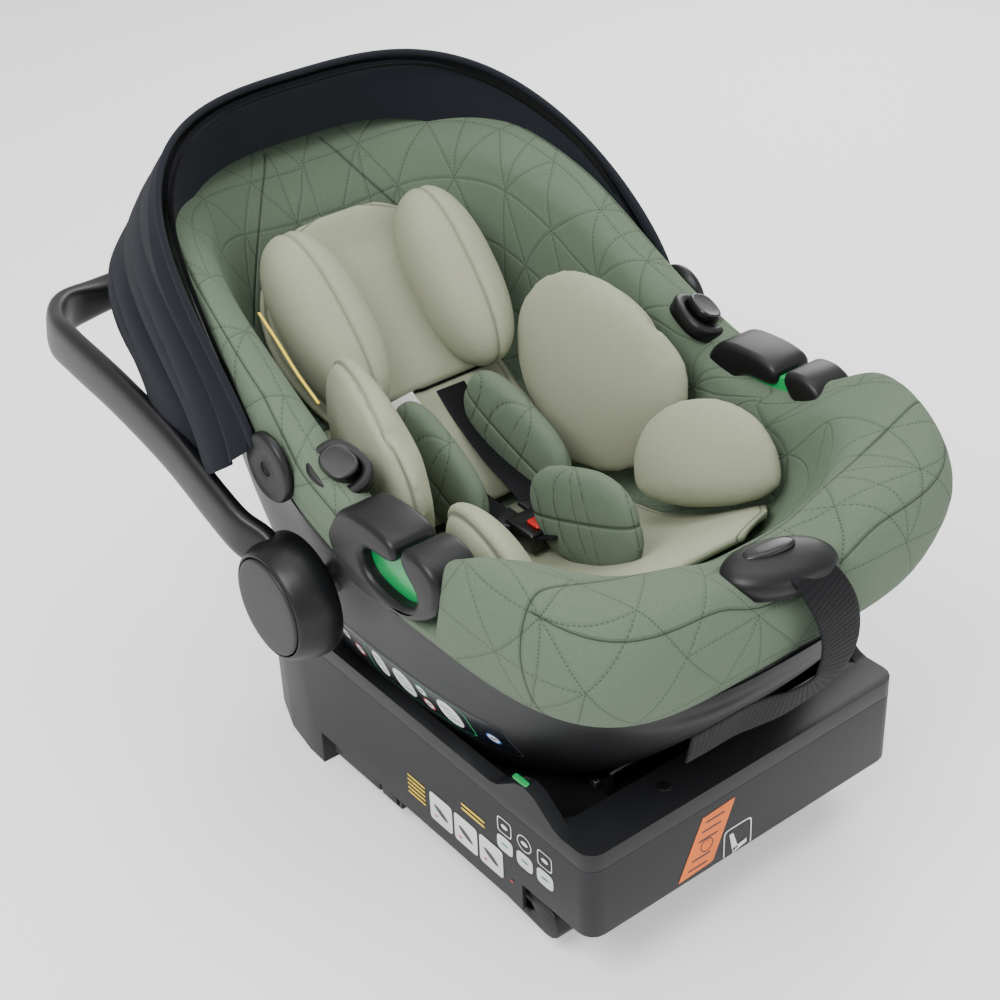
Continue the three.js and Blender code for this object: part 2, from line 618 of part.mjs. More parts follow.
function buildHandle() {
  const points = handlePath().map((point) => new THREE.Vector3(...point));
  const curve = new THREE.CatmullRomCurve3(points, false, 'centripetal');
  const steps = 40;
  const stations = [];
  for (let k = 0; k <= steps; k += 1) {
    const t = k / steps;
    const at = curve.getPointAt(t);
    const tangent = curve.getTangentAt(t);
    const inPlane = new THREE.Vector3(0, -0.27, 0.96);
    inPlane.addScaledVector(tangent, -inPlane.dot(tangent)).normalize();
    const thin = new THREE.Vector3().crossVectors(tangent, inPlane).normalize();
    const grip = Math.max(0, 1 - Math.abs(at.x) / 190);
    stations.push({
      at: at.toArray(),
      side: thin.toArray(),
      up: inPlane.toArray(),
      width: HANDLE_THICKNESS + 9 * Math.min(1, grip * 3),
      height: HANDLE_WIDTH - 14 * Math.min(1, grip * 3),
    });
  }
  const hubDome = new THREE.LatheGeometry([
    [AXLE_RADIUS + GAP, HUB_INNER_X], [HUB_RADIUS - 4, HUB_INNER_X], [HUB_RADIUS, HUB_INNER_X + 6],
    [HUB_RADIUS, HUB_INNER_X + 16], [HUB_RADIUS - 4, HUB_INNER_X + 29],
    [HUB_BUTTON_RADIUS + 5, HUB_OUTER_X - 2], [HUB_BUTTON_RADIUS + 1, HUB_OUTER_X - 2],
    [HUB_BUTTON_RADIUS + 1, HUB_OUTER_X - 13], [14, HUB_OUTER_X - 13],
    [AXLE_RADIUS + GAP, HUB_OUTER_X - 15], [AXLE_RADIUS + GAP, HUB_INNER_X],
  ].map(([radius, x]) => new THREE.Vector2(radius, x)), 28);
  hubDome.rotateZ(-Math.PI / 2);
  hubDome.translate(0, HUB.y, HUB.z);
  const wellClear = rodX(HUB_BUTTON_RADIUS + 1, HUB_OUTER_X - 13, HUB_OUTER_X + 20, HUB.y, HUB.z, 32);
  const boreClear = rodX(AXLE_RADIUS + GAP, HUB_INNER_X - 40, HUB_OUTER_X, HUB.y, HUB.z);
  const grip = sweep(stations, 10, 2.6);
  const hub = toGeometry(toManifold(hubDome));
  add('handle', cut(
    join(grip, hub, mirrorX(hub)), wellClear, mirrorX(wellClear), boreClear, mirrorX(boreClear)), black);
  const cap = new THREE.LatheGeometry([
    [0, HUB_OUTER_X - 6], [HUB_BUTTON_RADIUS, HUB_OUTER_X - 6], [HUB_BUTTON_RADIUS, HUB_OUTER_X - 1.5],
    [HUB_BUTTON_RADIUS - 2, HUB_OUTER_X], [0, HUB_OUTER_X],
  ].map(([radius, x]) => new THREE.Vector2(radius, x)), 32);
  cap.rotateZ(-Math.PI / 2);
  cap.translate(0, HUB.y, HUB.z);
  addPair('hub_button', toGeometry(toManifold(cap)), { color: 0x55514b, roughness: 0.5 });
}

// ---------- Canopy ----------
// Arches from the front bow (0) to the hem round the head end (6): foot point and crown point.
const archFeet = [
  [212, 48, 362], [212, 62, 346], [213, 82, 329], [213, 104, 318],
  [213, 142, 322], [213, 185, 336], [211, 222, 358],
];
const archCrowns = [
  [278, 539], [291, 526], [309, 506], [328, 484],
  [340, 462], [345, 442], [346, 424],
];

function archPoint(arch, v) {
  const foot = archFeet[arch];
  const crown = archCrowns[arch];
  const angle = Math.PI * v;
  const rise = Math.sin(angle);
  const x = foot[0] * Math.sign(Math.cos(angle)) * Math.abs(Math.cos(angle)) ** 0.65;
  const y = foot[1] + (crown[0] - foot[1]) * rise ** 0.77;
  const z = foot[2] + (crown[1] - foot[2]) * rise ** 0.55;
  return [Math.abs(v - 0.5) < 1e-9 ? 0 : x, y, z];
}

// Thin closed solid: the outer points and the same points moved in by the thickness towards a centre line.
function sheetSolid(grid, inward) {
  const rows = grid.length;
  const columns = grid[0].length;
  const outer = grid.flat();
  const inner = grid.map((row, r) => row.map((point, c) => inward(point, r, c))).flat();
  const positions = [...outer, ...inner].flat();
  const offset = outer.length;
  const index = [];
  const quad = (a, b, c, d) => index.push(a, b, c, a, c, d);
  for (let r = 0; r + 1 < rows; r += 1) {
    for (let c = 0; c + 1 < columns; c += 1) {
      const a = r * columns + c;
      quad(a, a + 1, a + columns + 1, a + columns);
      quad(offset + a, offset + a + columns, offset + a + columns + 1, offset + a + 1);
    }
  }
  for (let c = 0; c + 1 < columns; c += 1) {
    const last = (rows - 1) * columns + c;
    quad(c + 1, c, offset + c, offset + c + 1);
    quad(last, last + 1, offset + last + 1, offset + last);
  }
  for (let r = 0; r + 1 < rows; r += 1) {
    const first = r * columns;
    const last = first + columns - 1;
    quad(first, first + columns, offset + first + columns, offset + first);
    quad(last + columns, last, offset + last, offset + last + columns);
  }
  const geometry = new THREE.BufferGeometry();
  geometry.setAttribute('position', new THREE.BufferAttribute(new Float32Array(positions), 3));
  geometry.setIndex(index);
  const solid = toManifold(geometry);
  if (solid.volume() > 0) return toGeometry(solid);
  const flipped = [];
  for (let k = 0; k < index.length; k += 3) flipped.push(index[k], index[k + 2], index[k + 1]);
  geometry.setIndex(flipped);
  return toGeometry(toManifold(geometry));
}

function buildCanopy() {
  const grid = archFeet.map((_, arch) => (
    Array.from({ length: CANOPY_STEPS + 1 }, (_unused, k) => archPoint(arch, k / CANOPY_STEPS))));
  const heart = new THREE.Vector3(0, 150, 380);
  const fabric = sheetSolid(grid, (point) => {
    const inward = heart.clone().sub(new THREE.Vector3(...point));
    inward.setLength(2.5);
    return [point[0] + inward.x, point[1] + inward.y, point[2] + inward.z];
  });
  add('canopy_fabric', fabric, charcoal);

  const bowPoints = [[208.3, 40, 352]];
  for (let k = 1; k < 12; k += 1) {
    const [x, y, z] = archPoint(0, 0.03 + 0.94 * k / 12);
    bowPoints.push([x * 0.968, y - 9, z - 9]);
  }
  bowPoints.push([-208.3, 40, 352]);
  const across = () => [0, -0.9, 0.45];
  const strip = sweep(stationsAlong(bowPoints, 40, across, () => 9, () => 2.4), 4, 2);
  const eye = rodX(15, 207.4, 213, CANOPY_PIVOT.y, CANOPY_PIVOT.z);
  const link = box(207.2, 212, 30, 46, 347, 358);
  const bore = rodX(6 + GAP, 200, 220, CANOPY_PIVOT.y, CANOPY_PIVOT.z);
  add('canopy_bow', cut(join(strip, eye, mirrorX(eye), link, mirrorX(link)), bore, mirrorX(bore)), black);
  const stud = join(
    rodX(6, 206.6, 215.2, CANOPY_PIVOT.y, CANOPY_PIVOT.z, 16),
    rodX(9, 213.6, 215.6, CANOPY_PIVOT.y, CANOPY_PIVOT.z, 16));
  addPair('canopy_stud', stud, black);
}

// ---------- Soft inlay and harness ----------
function buildSoft() {
  const seatLine = [[-188, 284], [-150, 257], [-110, 233], [-60, 212], [0, 205], [38, 213]];
  add('seat_pad', curvedPad(seatLine, 72, 13), beige);
  add('back_pad', curvedPad([[56, 227], [90, 247], [121, 269], [138, 287]], 58, 11, 4), beige);
  add('headrest_pad', curvedPad([[152, 302], [200, 354], [226, 388], [244, 424]], 92, 10, 5), beige);
  const backTilt = 0.82;
  addPair('head_wing', cushion([58, 150, 62], [62, 160, 370], backTilt, -0.05), beige);
  addPair('body_wing', cushion([36, 150, 132], [116, 30, 322], backTilt, 0.12, 0.16), beige);
  addPair('hip_pad', cushion([42, 112, 84], [108, -98, 284], -0.35, 0.28, 0.3), beige);
  addPair('shoulder_pad', cushion([50, 128, 16], [30, 66, 266], 0.42, 0.05), darkGreen);
  add('crotch_pad', cushion([62, 112, 16], [0, -110, 267], -0.4), darkGreen);
  add('buckle', cut(box(-22, 22, -44, -8, 224, 240), box(-11.5, 11.5, -38.5, -23.5, 234.8, 241)), black);
  add('buckle_button', box(-11, 11, -38, -24, 238.4, 242.4), signalRed);
  const strapLine = [[20, -6.5, 232], [24, 20, 238], [29, 66, 246], [32, 104, 264]];
  const strap = ribbon(strapLine, 5, () => [1, 0, 0], 30);
  addPair('shoulder_strap', strap, webbing);
  add('adjuster_strap', ribbon([
    [0, -312.5, 342], [0, -323, 341], [3, -331, 331], [11, -335, 314], [18, -335, 294], [21, -333, 272],
    [17, -329, 252], [4, -324, 240], [-16, -319, 234], [-36, -315, 234], [-54, -313, 235],
    [-76, -312, 234], [-100, -309, 231],
  ], 28, () => [1, 0, 0]), webbing);
}

buildBase();
buildConnectors();
buildLeg();
buildBucket();
buildLatches();
buildHandle();
buildCanopy();
buildSoft();

seat.children.forEach((mesh) => mesh.position.setY(ORIGIN_SHIFT_Y));
export default seat;
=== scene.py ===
# Infant car seat docked in its car base: the looks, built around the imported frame.
# Metres, +Z up, -Y the foot end, +Y the head end. Shape tables are in millimetres about the hub line, as the
# design is drawn, and place() turns them into metres in the frame.
import json
import math

import bmesh
import bpy
import numpy as np
from mathutils import Matrix, Vector
from mathutils.bvhtree import BVHTree

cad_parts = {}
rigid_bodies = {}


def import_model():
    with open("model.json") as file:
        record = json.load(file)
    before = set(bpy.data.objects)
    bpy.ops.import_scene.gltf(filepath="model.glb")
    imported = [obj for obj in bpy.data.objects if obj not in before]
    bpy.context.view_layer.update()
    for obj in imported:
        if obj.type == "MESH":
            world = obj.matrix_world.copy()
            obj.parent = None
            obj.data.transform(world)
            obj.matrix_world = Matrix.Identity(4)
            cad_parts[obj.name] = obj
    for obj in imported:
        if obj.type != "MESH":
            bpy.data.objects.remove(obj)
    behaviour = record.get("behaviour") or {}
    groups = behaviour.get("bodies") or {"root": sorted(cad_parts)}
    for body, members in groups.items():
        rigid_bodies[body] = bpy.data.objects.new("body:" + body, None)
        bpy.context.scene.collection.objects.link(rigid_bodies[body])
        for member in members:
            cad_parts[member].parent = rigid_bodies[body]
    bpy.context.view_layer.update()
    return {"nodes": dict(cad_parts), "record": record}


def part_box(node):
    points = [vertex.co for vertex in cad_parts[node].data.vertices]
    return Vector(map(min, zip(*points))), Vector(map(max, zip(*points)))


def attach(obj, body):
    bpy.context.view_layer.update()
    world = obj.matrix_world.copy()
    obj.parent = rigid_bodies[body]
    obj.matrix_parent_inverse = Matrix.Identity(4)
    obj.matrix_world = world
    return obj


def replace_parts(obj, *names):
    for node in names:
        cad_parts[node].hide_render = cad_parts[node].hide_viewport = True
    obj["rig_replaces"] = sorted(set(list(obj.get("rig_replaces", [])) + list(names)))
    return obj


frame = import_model()


SIDES = (("right", 1), ("left", -1))
HUB_LINE_Y = 12.0                                   # mm, the hub line in the design's own numbers
HUB = sum(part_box("hub_axle_left"), Vector()) / 2
HUB_CENTRE = (HUB_LINE_Y, HUB.z * 1000)
SHIFT_Y = round(HUB.y * 1000 - HUB_LINE_Y)


def place(points):
    """Design points in millimetres, any shape (..., 3), as frame points in metres."""
    return (np.asarray(points, float) + np.array([0.0, SHIFT_Y, 0.0])) / 1000.0


DOWN = Vector((0, 0, -1))


def surface_tree(piece):
    """A piece's surface, made ready for ray casts."""
    return BVHTree.FromObject(piece, bpy.context.evaluated_depsgraph_get())


def link(name, data):
    thing = bpy.data.objects.new(name, data)
    bpy.context.scene.collection.objects.link(thing)
    return thing


# ---------- Lines and sections, as arrays of points ----------
def run_along(line):
    """Running length at each point of a line."""
    return np.concatenate([[0], np.cumsum(np.linalg.norm(np.diff(line, axis=0), axis=1))])


def spaced(line, count, closed=False):
    """The same line through evenly spaced points."""
    if closed:
        line = np.concatenate([line, line[:1]])
    run = run_along(line)
    even = np.linspace(0, run[-1], count, endpoint=not closed)
    return np.stack([np.interp(even, run, line[:, k]) for k in range(line.shape[1])], axis=1)


def between(p0, p1, p2, p3, s):
    """The place at share s from p1 to p2, on a smooth curve through all four."""
    return 0.5 * (2 * p1 + (p2 - p0) * s + (2 * p0 - 5 * p1 + 4 * p2 - p3) * s ** 2
                  + (3 * p1 - p0 - 3 * p2 + p3) * s ** 3)


def smooth_rows(rows, count):
    """More rows between the given ones, on smooth curves from row to row."""
    rows = np.asarray(rows, float)
    padded = np.concatenate([2 * rows[:1] - rows[1:2], rows, 2 * rows[-1:] - rows[-2:-1]])
    result = []
    for t in np.linspace(0, len(rows) - 1, count):
        k = min(int(t), len(rows) - 2)
        result.append(between(*padded[k:k + 4], t - k))
    return np.array(result)


def smooth_path(points, count):
    """An evenly spaced smooth line through the points."""
    points = np.asarray(points, float)
    return spaced(smooth_rows(points[:, None, :], 24 * len(points))[:, 0, :], count)


def curve_profile(points, count):
    """A smooth (x, radius) profile through the points."""
    return [(x, r) for x, r, _ in smooth_path([(a, b, 0.0) for a, b in points], count)]


def squared(part, power):
    """A cosine or sine raised so that its oval grows squarer as the power grows; 2 leaves a true oval."""
    return np.sign(part) * np.abs(part) ** (2 / power)


def oval_parts(count, power):
    """Both coordinates round an oval of half size 1."""
    angle = np.linspace(0, 2 * np.pi, count, endpoint=False)
    return squared(np.cos(angle), power), squared(np.sin(angle), power)


def path_frame(path, aim):
    """Unit tangents of a path, and the given direction squared to them at each point."""
    tangents = np.gradient(path, axis=0)
    tangents /= np.linalg.norm(tangents, axis=1, keepdims=True)
    aim = np.broadcast_to(np.asarray(aim, float), path.shape)
    aim = aim - tangents * (aim * tangents).sum(axis=1, keepdims=True)
    return tangents, aim / np.linalg.norm(aim, axis=1, keepdims=True)


# ---------- Camera, light and floor ----------
CAMERA_PLACE = (-0.79656, -1.08401, 1.07700)
CAMERA_RIGHT = (0.78122, -0.62316, -0.03691)
CAMERA_UP = (0.36093, 0.40265, 0.84119)
CAMERA_LENS = 67.55


def build_camera():
    data = bpy.data.cameras.new("main_camera")
    data.lens = CAMERA_LENS
    data.sensor_width = 36
    data.clip_start = 0.05
    camera = link("main_camera", data)
    right = Vector(CAMERA_RIGHT).normalized()
    up = Vector(CAMERA_UP)
    up = (up - right * up.dot(right)).normalized()
    turn = Matrix((right, up, right.cross(up))).transposed()
    camera.matrix_world = Matrix.Translation(CAMERA_PLACE) @ turn.to_4x4()
    bpy.context.scene.camera = camera


LIGHT_AIM = (0.0, 0.0, 0.25)
# Name, place in metres, size in metres, power in watts.
LIGHTS = [
    ("key_light", (-1.6, -0.6, 2.3), (1.3, 1.3), 60),
    ("top_light", (0.3, 0.2, 2.6), (2.2, 1.4), 26),
    ("rim_light", (1.7, 1.1, 1.3), (1.0, 1.4), 20),
    ("front_light", (0.5, -2.2, 0.9), (1.6, 0.9), 12),
]
FLOOR_GLOW = 0.42


def area_light(name, spot, size, power):
    data = bpy.data.lights.new(name, "AREA")
    data.shape = "RECTANGLE"
    data.size, data.size_y = size
    data.energy = power
    light = link(name, data)
    light.location = spot
    light.rotation_euler = (Vector(LIGHT_AIM) - Vector(spot)).to_track_quat("-Z", "Y").to_euler()


def build_studio():
    world = bpy.data.worlds.new("studio")
    world.use_nodes = True
    background = world.node_tree.nodes["Background"]
    background.inputs["Color"].default_value = (1.0, 1.0, 1.0, 1.0)
    background.inputs["Strength"].default_value = 0.8
    bpy.context.scene.world = world
    for light in LIGHTS:
        area_light(*light)
    bpy.ops.mesh.primitive_plane_add(size=12, location=(0, 0, 0))
    floor = bpy.context.object
    floor.name = "studio_floor"
    paper = Shader("floor_paper")
    # Only the camera sees this glow, so the paper turns whiter and the light on the object stays the same.
    glow = paper.times(paper.node("ShaderNodeLightPath", output="Is Camera Ray"), FLOOR_GLOW)
    floor.data.materials.append(paper.finish(
        Base_Color=(0.93, 0.93, 0.93), Roughness=0.7, Emission_Color=(1.0, 1.0, 1.0), Emission_Strength=glow))


# ---------- Shader building ----------
class Shader:
    """A material whose nodes are added by name; each node call returns its first output."""

    def __init__(self, name):
        self.material = bpy.data.materials.new(name)
        self.material.use_nodes = True
        self.tree = self.material.node_tree
        self.surface = self.tree.nodes["Principled BSDF"]

    def feed(self, socket, value):
        if isinstance(value, bpy.types.NodeSocket):
            self.tree.links.new(value, socket)
        elif socket.type == "RGBA":
            socket.default_value = (*value[:3], 1.0)
        else:
            socket.default_value = value

    def node(self, kind, inputs=None, output=0, **settings):
        node = self.tree.nodes.new(kind)
        for key, value in settings.items():
            setattr(node, key, value)
        for key, value in (inputs or {}).items():
            self.feed(node.inputs[key], value)
        return node.outputs[output]

    def math(self, operation, *values):
        return self.node("ShaderNodeMath", dict(enumerate(values)), operation=operation)

    def times(self, a, b):
        return self.math("MULTIPLY", a, b)

    def vector(self, operation, *values):
        return self.node("ShaderNodeVectorMath", dict(enumerate(values)), operation=operation)

    def dot(self, a, b):
        return self.node("ShaderNodeVectorMath", {0: a, 1: b}, output=1, operation="DOT_PRODUCT")

    def noise(self, scale, detail=2.0, where=None, roughness=0.5):
        inputs = {"Scale": scale, "Detail": detail, "Roughness": roughness}
        inputs["Vector"] = where if where is not None else self.place()
        return self.node("ShaderNodeTexNoise", inputs)

    def place(self):
        return self.node("ShaderNodeTexCoord", output=3)

    def cloth_place(self):
        return self.node("ShaderNodeUVMap", uv_map="cloth")

    def attribute(self, name):
        return self.node("ShaderNodeAttribute", output=2, attribute_name=name)

    def ramp(self, value, low, high, out_low=0.0, out_high=1.0):
        inputs = {0: value, 1: low, 2: high, 3: out_low, 4: out_high}
        return self.node("ShaderNodeMapRange", inputs, interpolation_type="SMOOTHSTEP")

    def mix(self, share, a, b):
        node = self.tree.nodes.new("ShaderNodeMix")
        node.data_type = "RGBA"
        for socket, value in ((node.inputs[0], share), (node.inputs[6], a), (node.inputs[7], b)):
            self.feed(socket, value)
        return node.outputs[2]

    def toward(self, tone, mask, share, colour):
        """The tone moved to another colour by a share of the mask."""
        return self.mix(self.times(mask, share), tone, colour)

    def bump(self, height, distance):
        return self.node("ShaderNodeBump", {"Height": height, "Distance": distance, "Strength": 1.0})

    def finish(self, **sockets):
        for key, value in sockets.items():
            self.feed(self.surface.inputs[key.replace("_", " ")], value)
        return self.material


def scaled(colour, factor):
    return tuple(channel * factor for channel in colour)


def plastic(name, colour, roughness=0.45, grain=0.00004, grain_scale=1400, coat=0.0):
    """Moulded plastic: fine spark-eroded grain, slow tone changes and a lighter colour on convex edges."""
    shader = Shader(name)
    slow = shader.noise(9.0, 3.0)
    fine = shader.noise(grain_scale, 2.0)
    tone = shader.mix(shader.ramp(slow, 0.3, 0.7), scaled(colour, 0.88), scaled(colour, 1.14))
    # The colour is lighter on convex edges, where the surface's pointiness is high.
    lighter_convex_edges = shader.ramp(shader.node("ShaderNodeNewGeometry", output=7), 0.52, 0.62)
    tone = shader.toward(tone, lighter_convex_edges, 0.35, scaled(colour, 1.9))
    rough = shader.math("ADD", roughness - 0.06, shader.times(slow, 0.12))
    return shader.finish(Base_Color=tone, Roughness=rough, Normal=shader.bump(fine, grain), Coat_Weight=coat,
                         Coat_Roughness=0.25, Specular_IOR_Level=0.36)


def metal(name, colour, roughness):
    """Brushed metal: streaks that vary its roughness."""
    shader = Shader(name)
    brushed = shader.vector("MULTIPLY", shader.place(), (40.0, 900.0, 900.0))
    streaks = shader.noise(1.0, 3.0, where=brushed)
    rough = shader.ramp(streaks, 0.3, 0.7, roughness - 0.08, roughness + 0.12)
    return shader.finish(Base_Color=colour, Metallic=1.0, Roughness=rough,
                         Normal=shader.bump(streaks, 0.00003))


def seam_lines(shader, names):
    """Distance in metres to the nearest of the named seams, whose signed distances the mesh carries."""
    nearest = None
    for name in names:
        distance = shader.math("ABSOLUTE", shader.attribute(name))
        nearest = distance if nearest is None else shader.math("MINIMUM", nearest, distance)
    return nearest


STITCH_PITCH = 0.003
QUILT_SPACING = 0.047


def quilt_lines(shader, spacing):
    """Dotted stitch lines on a triangle grid in the cloth's own coordinates: (groove, stitch_shade) masks,
    the groove for a bump and painted shade, the stitch shade for painted shade in the stitch holes.
    """
    flat = shader.cloth_place()
    drift = shader.node("ShaderNodeTexNoise", {"Vector": flat, "Scale": 5.0, "Detail": 1.0}, output=1)
    wander = shader.vector("MULTIPLY", shader.vector("SUBTRACT", drift, (0.5, 0.5, 0.5)), (0.035, 0.035, 0.0))
    flat = shader.vector("ADD", flat, wander)
    edge = 2 * spacing / math.sqrt(3)
    groove = stitch_shade = None
    families = [(0, spacing, edge, 0.1), (60, spacing, edge, 0.12), (120, spacing, edge, 0.12),
                (90, edge / 2, 2 * spacing, 0.62)]
    for turn, step, length, dropped in families:
        angle = math.radians(turn)
        across = shader.dot(flat, (-math.sin(angle), math.cos(angle), 0.0))
        along = shader.dot(flat, (math.cos(angle), math.sin(angle), 0.0))
        line = shader.math("ROUND", shader.math("DIVIDE", across, step))
        offset = shader.math("SUBTRACT", across, shader.times(line, step))
        distance = shader.math("ABSOLUTE", offset)
        half = shader.times(shader.math("MODULO", shader.math("ABSOLUTE", line), 2.0), 0.5)
        segment = shader.math("FLOOR", shader.math("SUBTRACT", shader.math("DIVIDE", along, length), half))
        cell = shader.node("ShaderNodeCombineXYZ", {0: line, 1: segment, 2: float(turn)})
        kept = shader.math("GREATER_THAN", shader.node("ShaderNodeTexWhiteNoise", {0: cell}), dropped)
        dash = shader.math("LESS_THAN", shader.math("FRACT", shader.math("DIVIDE", along, STITCH_PITCH)), 0.6)
        # The groove mask: sunk as a bump, and darkened in colour as painted shade in the groove.
        near = shader.times(kept, shader.ramp(distance, 0.0026, 0.0002))
        # Dark dashes along each line: painted shade in the stitch holes.
        thread = shader.times(shader.times(kept, dash), shader.ramp(distance, 0.0006, 0.00025))
        groove = near if groove is None else shader.math("MAXIMUM", groove, near)
        stitch_shade = thread if stitch_shade is None else shader.math("MAXIMUM", stitch_shade, thread)
    return groove, stitch_shade


def knit(name, colour, quilt=0.0, seams=(), melange=0.16, seam_shade_strength=0.8):
    """Knitted cloth: melange yarn, fine loops, sheen and, where asked, quilt stitching and panel seams, with
    painted shade in the grooves, stitch holes and seam gaps.
    """
    shader = Shader(name)
    where = shader.place()
    yarn = shader.noise(1500.0, 3.0, where=where, roughness=0.7)
    heather = shader.noise(260.0, 2.0, where=shader.vector("MULTIPLY", where, (1.0, 1.0, 2.6)))
    slow = shader.noise(7.0, 2.0, where=where)
    tone = shader.mix(shader.ramp(yarn, 0.32, 0.68), scaled(colour, 1 - melange), scaled(colour, 1 + melange))
    tone = shader.toward(tone, shader.ramp(heather, 0.35, 0.7), 0.35, scaled(colour, 0.84))
    tone = shader.toward(tone, slow, 0.25, scaled(colour, 1.18))
    height = shader.times(yarn, 0.00016)
    if quilt:
        groove, stitch_shade = quilt_lines(shader, quilt)
        height = shader.math("SUBTRACT", height, shader.times(groove, 0.0005))
        # Painted shade: the colour darkens in the quilt grooves and in the stitch holes.
        tone = shader.toward(tone, groove, 0.07, scaled(colour, 0.6))
        tone = shader.toward(tone, stitch_shade, 0.75, scaled(colour, 0.3))
    if seams:
        distance = seam_lines(shader, seams)
        seam_crease_and_shade = shader.ramp(distance, 0.0028, 0.0)
        seam_gap_shade = shader.ramp(distance, 0.0008, 0.0003)
        height = shader.math("SUBTRACT", height, shader.times(seam_crease_and_shade, 0.0014))
        # Painted shade: the colour darkens along the seam crease, which is also sunk as a bump, and turns
        # near black in the gap between panels.
        tone = shader.toward(tone, seam_crease_and_shade, 0.14, scaled(colour, 0.5))
        tone = shader.toward(tone, seam_gap_shade, seam_shade_strength, scaled(colour, 0.16))
    return shader.finish(
        Base_Color=tone, Roughness=0.92, Normal=shader.bump(height, 1.0), Sheen_Weight=0.2,
        Sheen_Roughness=0.45, Sheen_Tint=scaled(colour, 1.6), Specular_IOR_Level=0.25)


def woven(name, colour, thread, sheen, roughness, ribs_only=False):
    """Woven cloth or webbing: crossed threads, or ribs only, in the cloth's own coordinates."""
    shader = Shader(name)
    flat = shader.cloth_place()
    separate = shader.tree.nodes.new("ShaderNodeSeparateXYZ")
    shader.tree.links.new(flat, separate.inputs[0])
    turns = 2 * math.pi / thread
    warp = shader.math("SINE", shader.times(separate.outputs[0], turns))
    weft = shader.math("SINE", shader.times(separate.outputs[1], turns * (0.5 if ribs_only else 1.0)))
    pattern = shader.math("MAXIMUM" if ribs_only else "MULTIPLY", warp, weft)
    slow = shader.noise(30.0, 3.0)
    tone = shader.mix(shader.ramp(pattern, -1.0, 1.0), scaled(colour, 0.72), scaled(colour, 1.3))
    tone = shader.toward(tone, slow, 0.3, scaled(colour, 1.3))
    weave = shader.bump(shader.times(pattern, thread * 0.12), 1.0)
    return shader.finish(Base_Color=tone, Roughness=roughness, Sheen_Weight=sheen, Normal=weave,
                         Sheen_Roughness=0.4, Specular_IOR_Level=0.16)


SAGE = (0.116, 0.156, 0.108)
BEIGE = (0.325, 0.345, 0.245)
MOSS = (0.122, 0.160, 0.114)
CHARCOAL = (0.014, 0.016, 0.022)
COVER_SEAMS = ("seam_rim", "seam_front", "seam_panel", "seam_head")

LOOKS = {
    "base_grey": plastic("base_plastic", (0.0125, 0.013, 0.0145), 0.42),
    "shell_grey": plastic("shell_plastic", (0.0085, 0.009, 0.010), 0.45),
    "black_plastic": plastic("black_plastic", (0.006, 0.006, 0.007), 0.4),
    "handle_black": plastic("handle_plastic", (0.0035, 0.0037, 0.0045), 0.38, coat=0.06),
    "button_black": plastic("button_plastic", (0.004, 0.004, 0.005), 0.3, grain=0.00001, coat=0.3),
    "cap_taupe": plastic("cap_plastic", (0.016, 0.015, 0.014), 0.42),
    "signal_green": plastic("green_plastic", (0.004, 0.33, 0.085), 0.3, coat=0.35),
    "signal_red": plastic("red_plastic", (0.42, 0.012, 0.01), 0.4),
    "steel": metal("zinc_steel", (0.42, 0.43, 0.44), 0.34),
    "leg_metal": metal("anodised_aluminium", (0.38, 0.38, 0.39), 0.36),
    "foam": plastic("bead_foam", (0.7, 0.7, 0.68), 0.9, grain=0.0004, grain_scale=260),
    "sage_knit": knit("sage_quilt", SAGE, quilt=QUILT_SPACING, seams=COVER_SEAMS),
    "insert_jersey": knit("insert_jersey", BEIGE, seams=("seam_edge",), melange=0.06, seam_shade_strength=0.4),
    "dark_green_pad": knit("moss_quilt", MOSS, quilt=0.036, seams=("seam_edge",), melange=0.12,
                           seam_shade_strength=0.45),
    "webbing": woven("harness_webbing", (0.006, 0.0062, 0.0075), 0.0022, 0.0, 0.6, ribs_only=True),
    "canopy_cloth": woven("canopy_weave", CHARCOAL, 0.0009, 0.04, 0.85),
}
# Each printed colour with its roughness.
PRINT_COLOURS = {
    "label_black": ((0.006, 0.008, 0.012), 0.25),
    "label_grey": ((0.045, 0.046, 0.048), 0.4),
    "label_white": ((0.72, 0.73, 0.73), 0.45),
    "label_orange": ((0.83, 0.17, 0.02), 0.45),
    "label_ink": ((0.05, 0.05, 0.055), 0.5),
    "label_green": ((0.02, 0.27, 0.1), 0.4),
    "label_blue": ((0.02, 0.14, 0.5), 0.4),
    "label_red": ((0.5, 0.03, 0.03), 0.4),
    "label_yellow": ((0.78, 0.55, 0.03), 0.45),
}
PRINT = {name: plastic(name, *look, grain=0.0) for name, look in PRINT_COLOURS.items()}


# ---------- Mesh building ----------
def new_piece(name, verts, faces, look, body, replaced=()):
    """A finished piece: its mesh, material, body and the CAD nodes that it stands for."""
    mesh = bpy.data.meshes.new(name)
    mesh.from_pydata([tuple(v) for v in verts], [], faces)
    mesh.validate()
    bm = bmesh.new()
    bm.from_mesh(mesh)
    bmesh.ops.recalc_face_normals(bm, faces=bm.faces)
    bm.to_mesh(mesh)
    bm.free()
    mesh.shade_smooth()
    return dress(link(name, mesh), look, body, replaced)


def dress(piece, look, body, replaced=()):
    """Gives a piece its material, the body it rides on and the CAD nodes that it stands for."""
    piece.data.materials.clear()
    piece.data.materials.append(LOOKS.get(look) or PRINT[look])
    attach(piece, body)
    if replaced:
        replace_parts(piece, *replaced)
    return piece


def arc_lengths(rows, axis):
    """Running lengths in metres along one axis of a grid of points."""
    steps = np.linalg.norm(np.diff(rows, axis=axis), axis=2)
    pad = [(0, 0), (0, 0)]
    pad[axis] = (1, 0)
    return np.cumsum(np.pad(steps, pad), axis=axis)


def grid_faces(row_count, column_count, closed):
    faces = []
    last = column_count if closed else column_count - 1
    for r in range(row_count - 1):
        for c in range(last):
            n = (c + 1) % column_count
            faces.append((r * column_count + c, r * column_count + n,
                          (r + 1) * column_count + n, (r + 1) * column_count + c))
    return faces


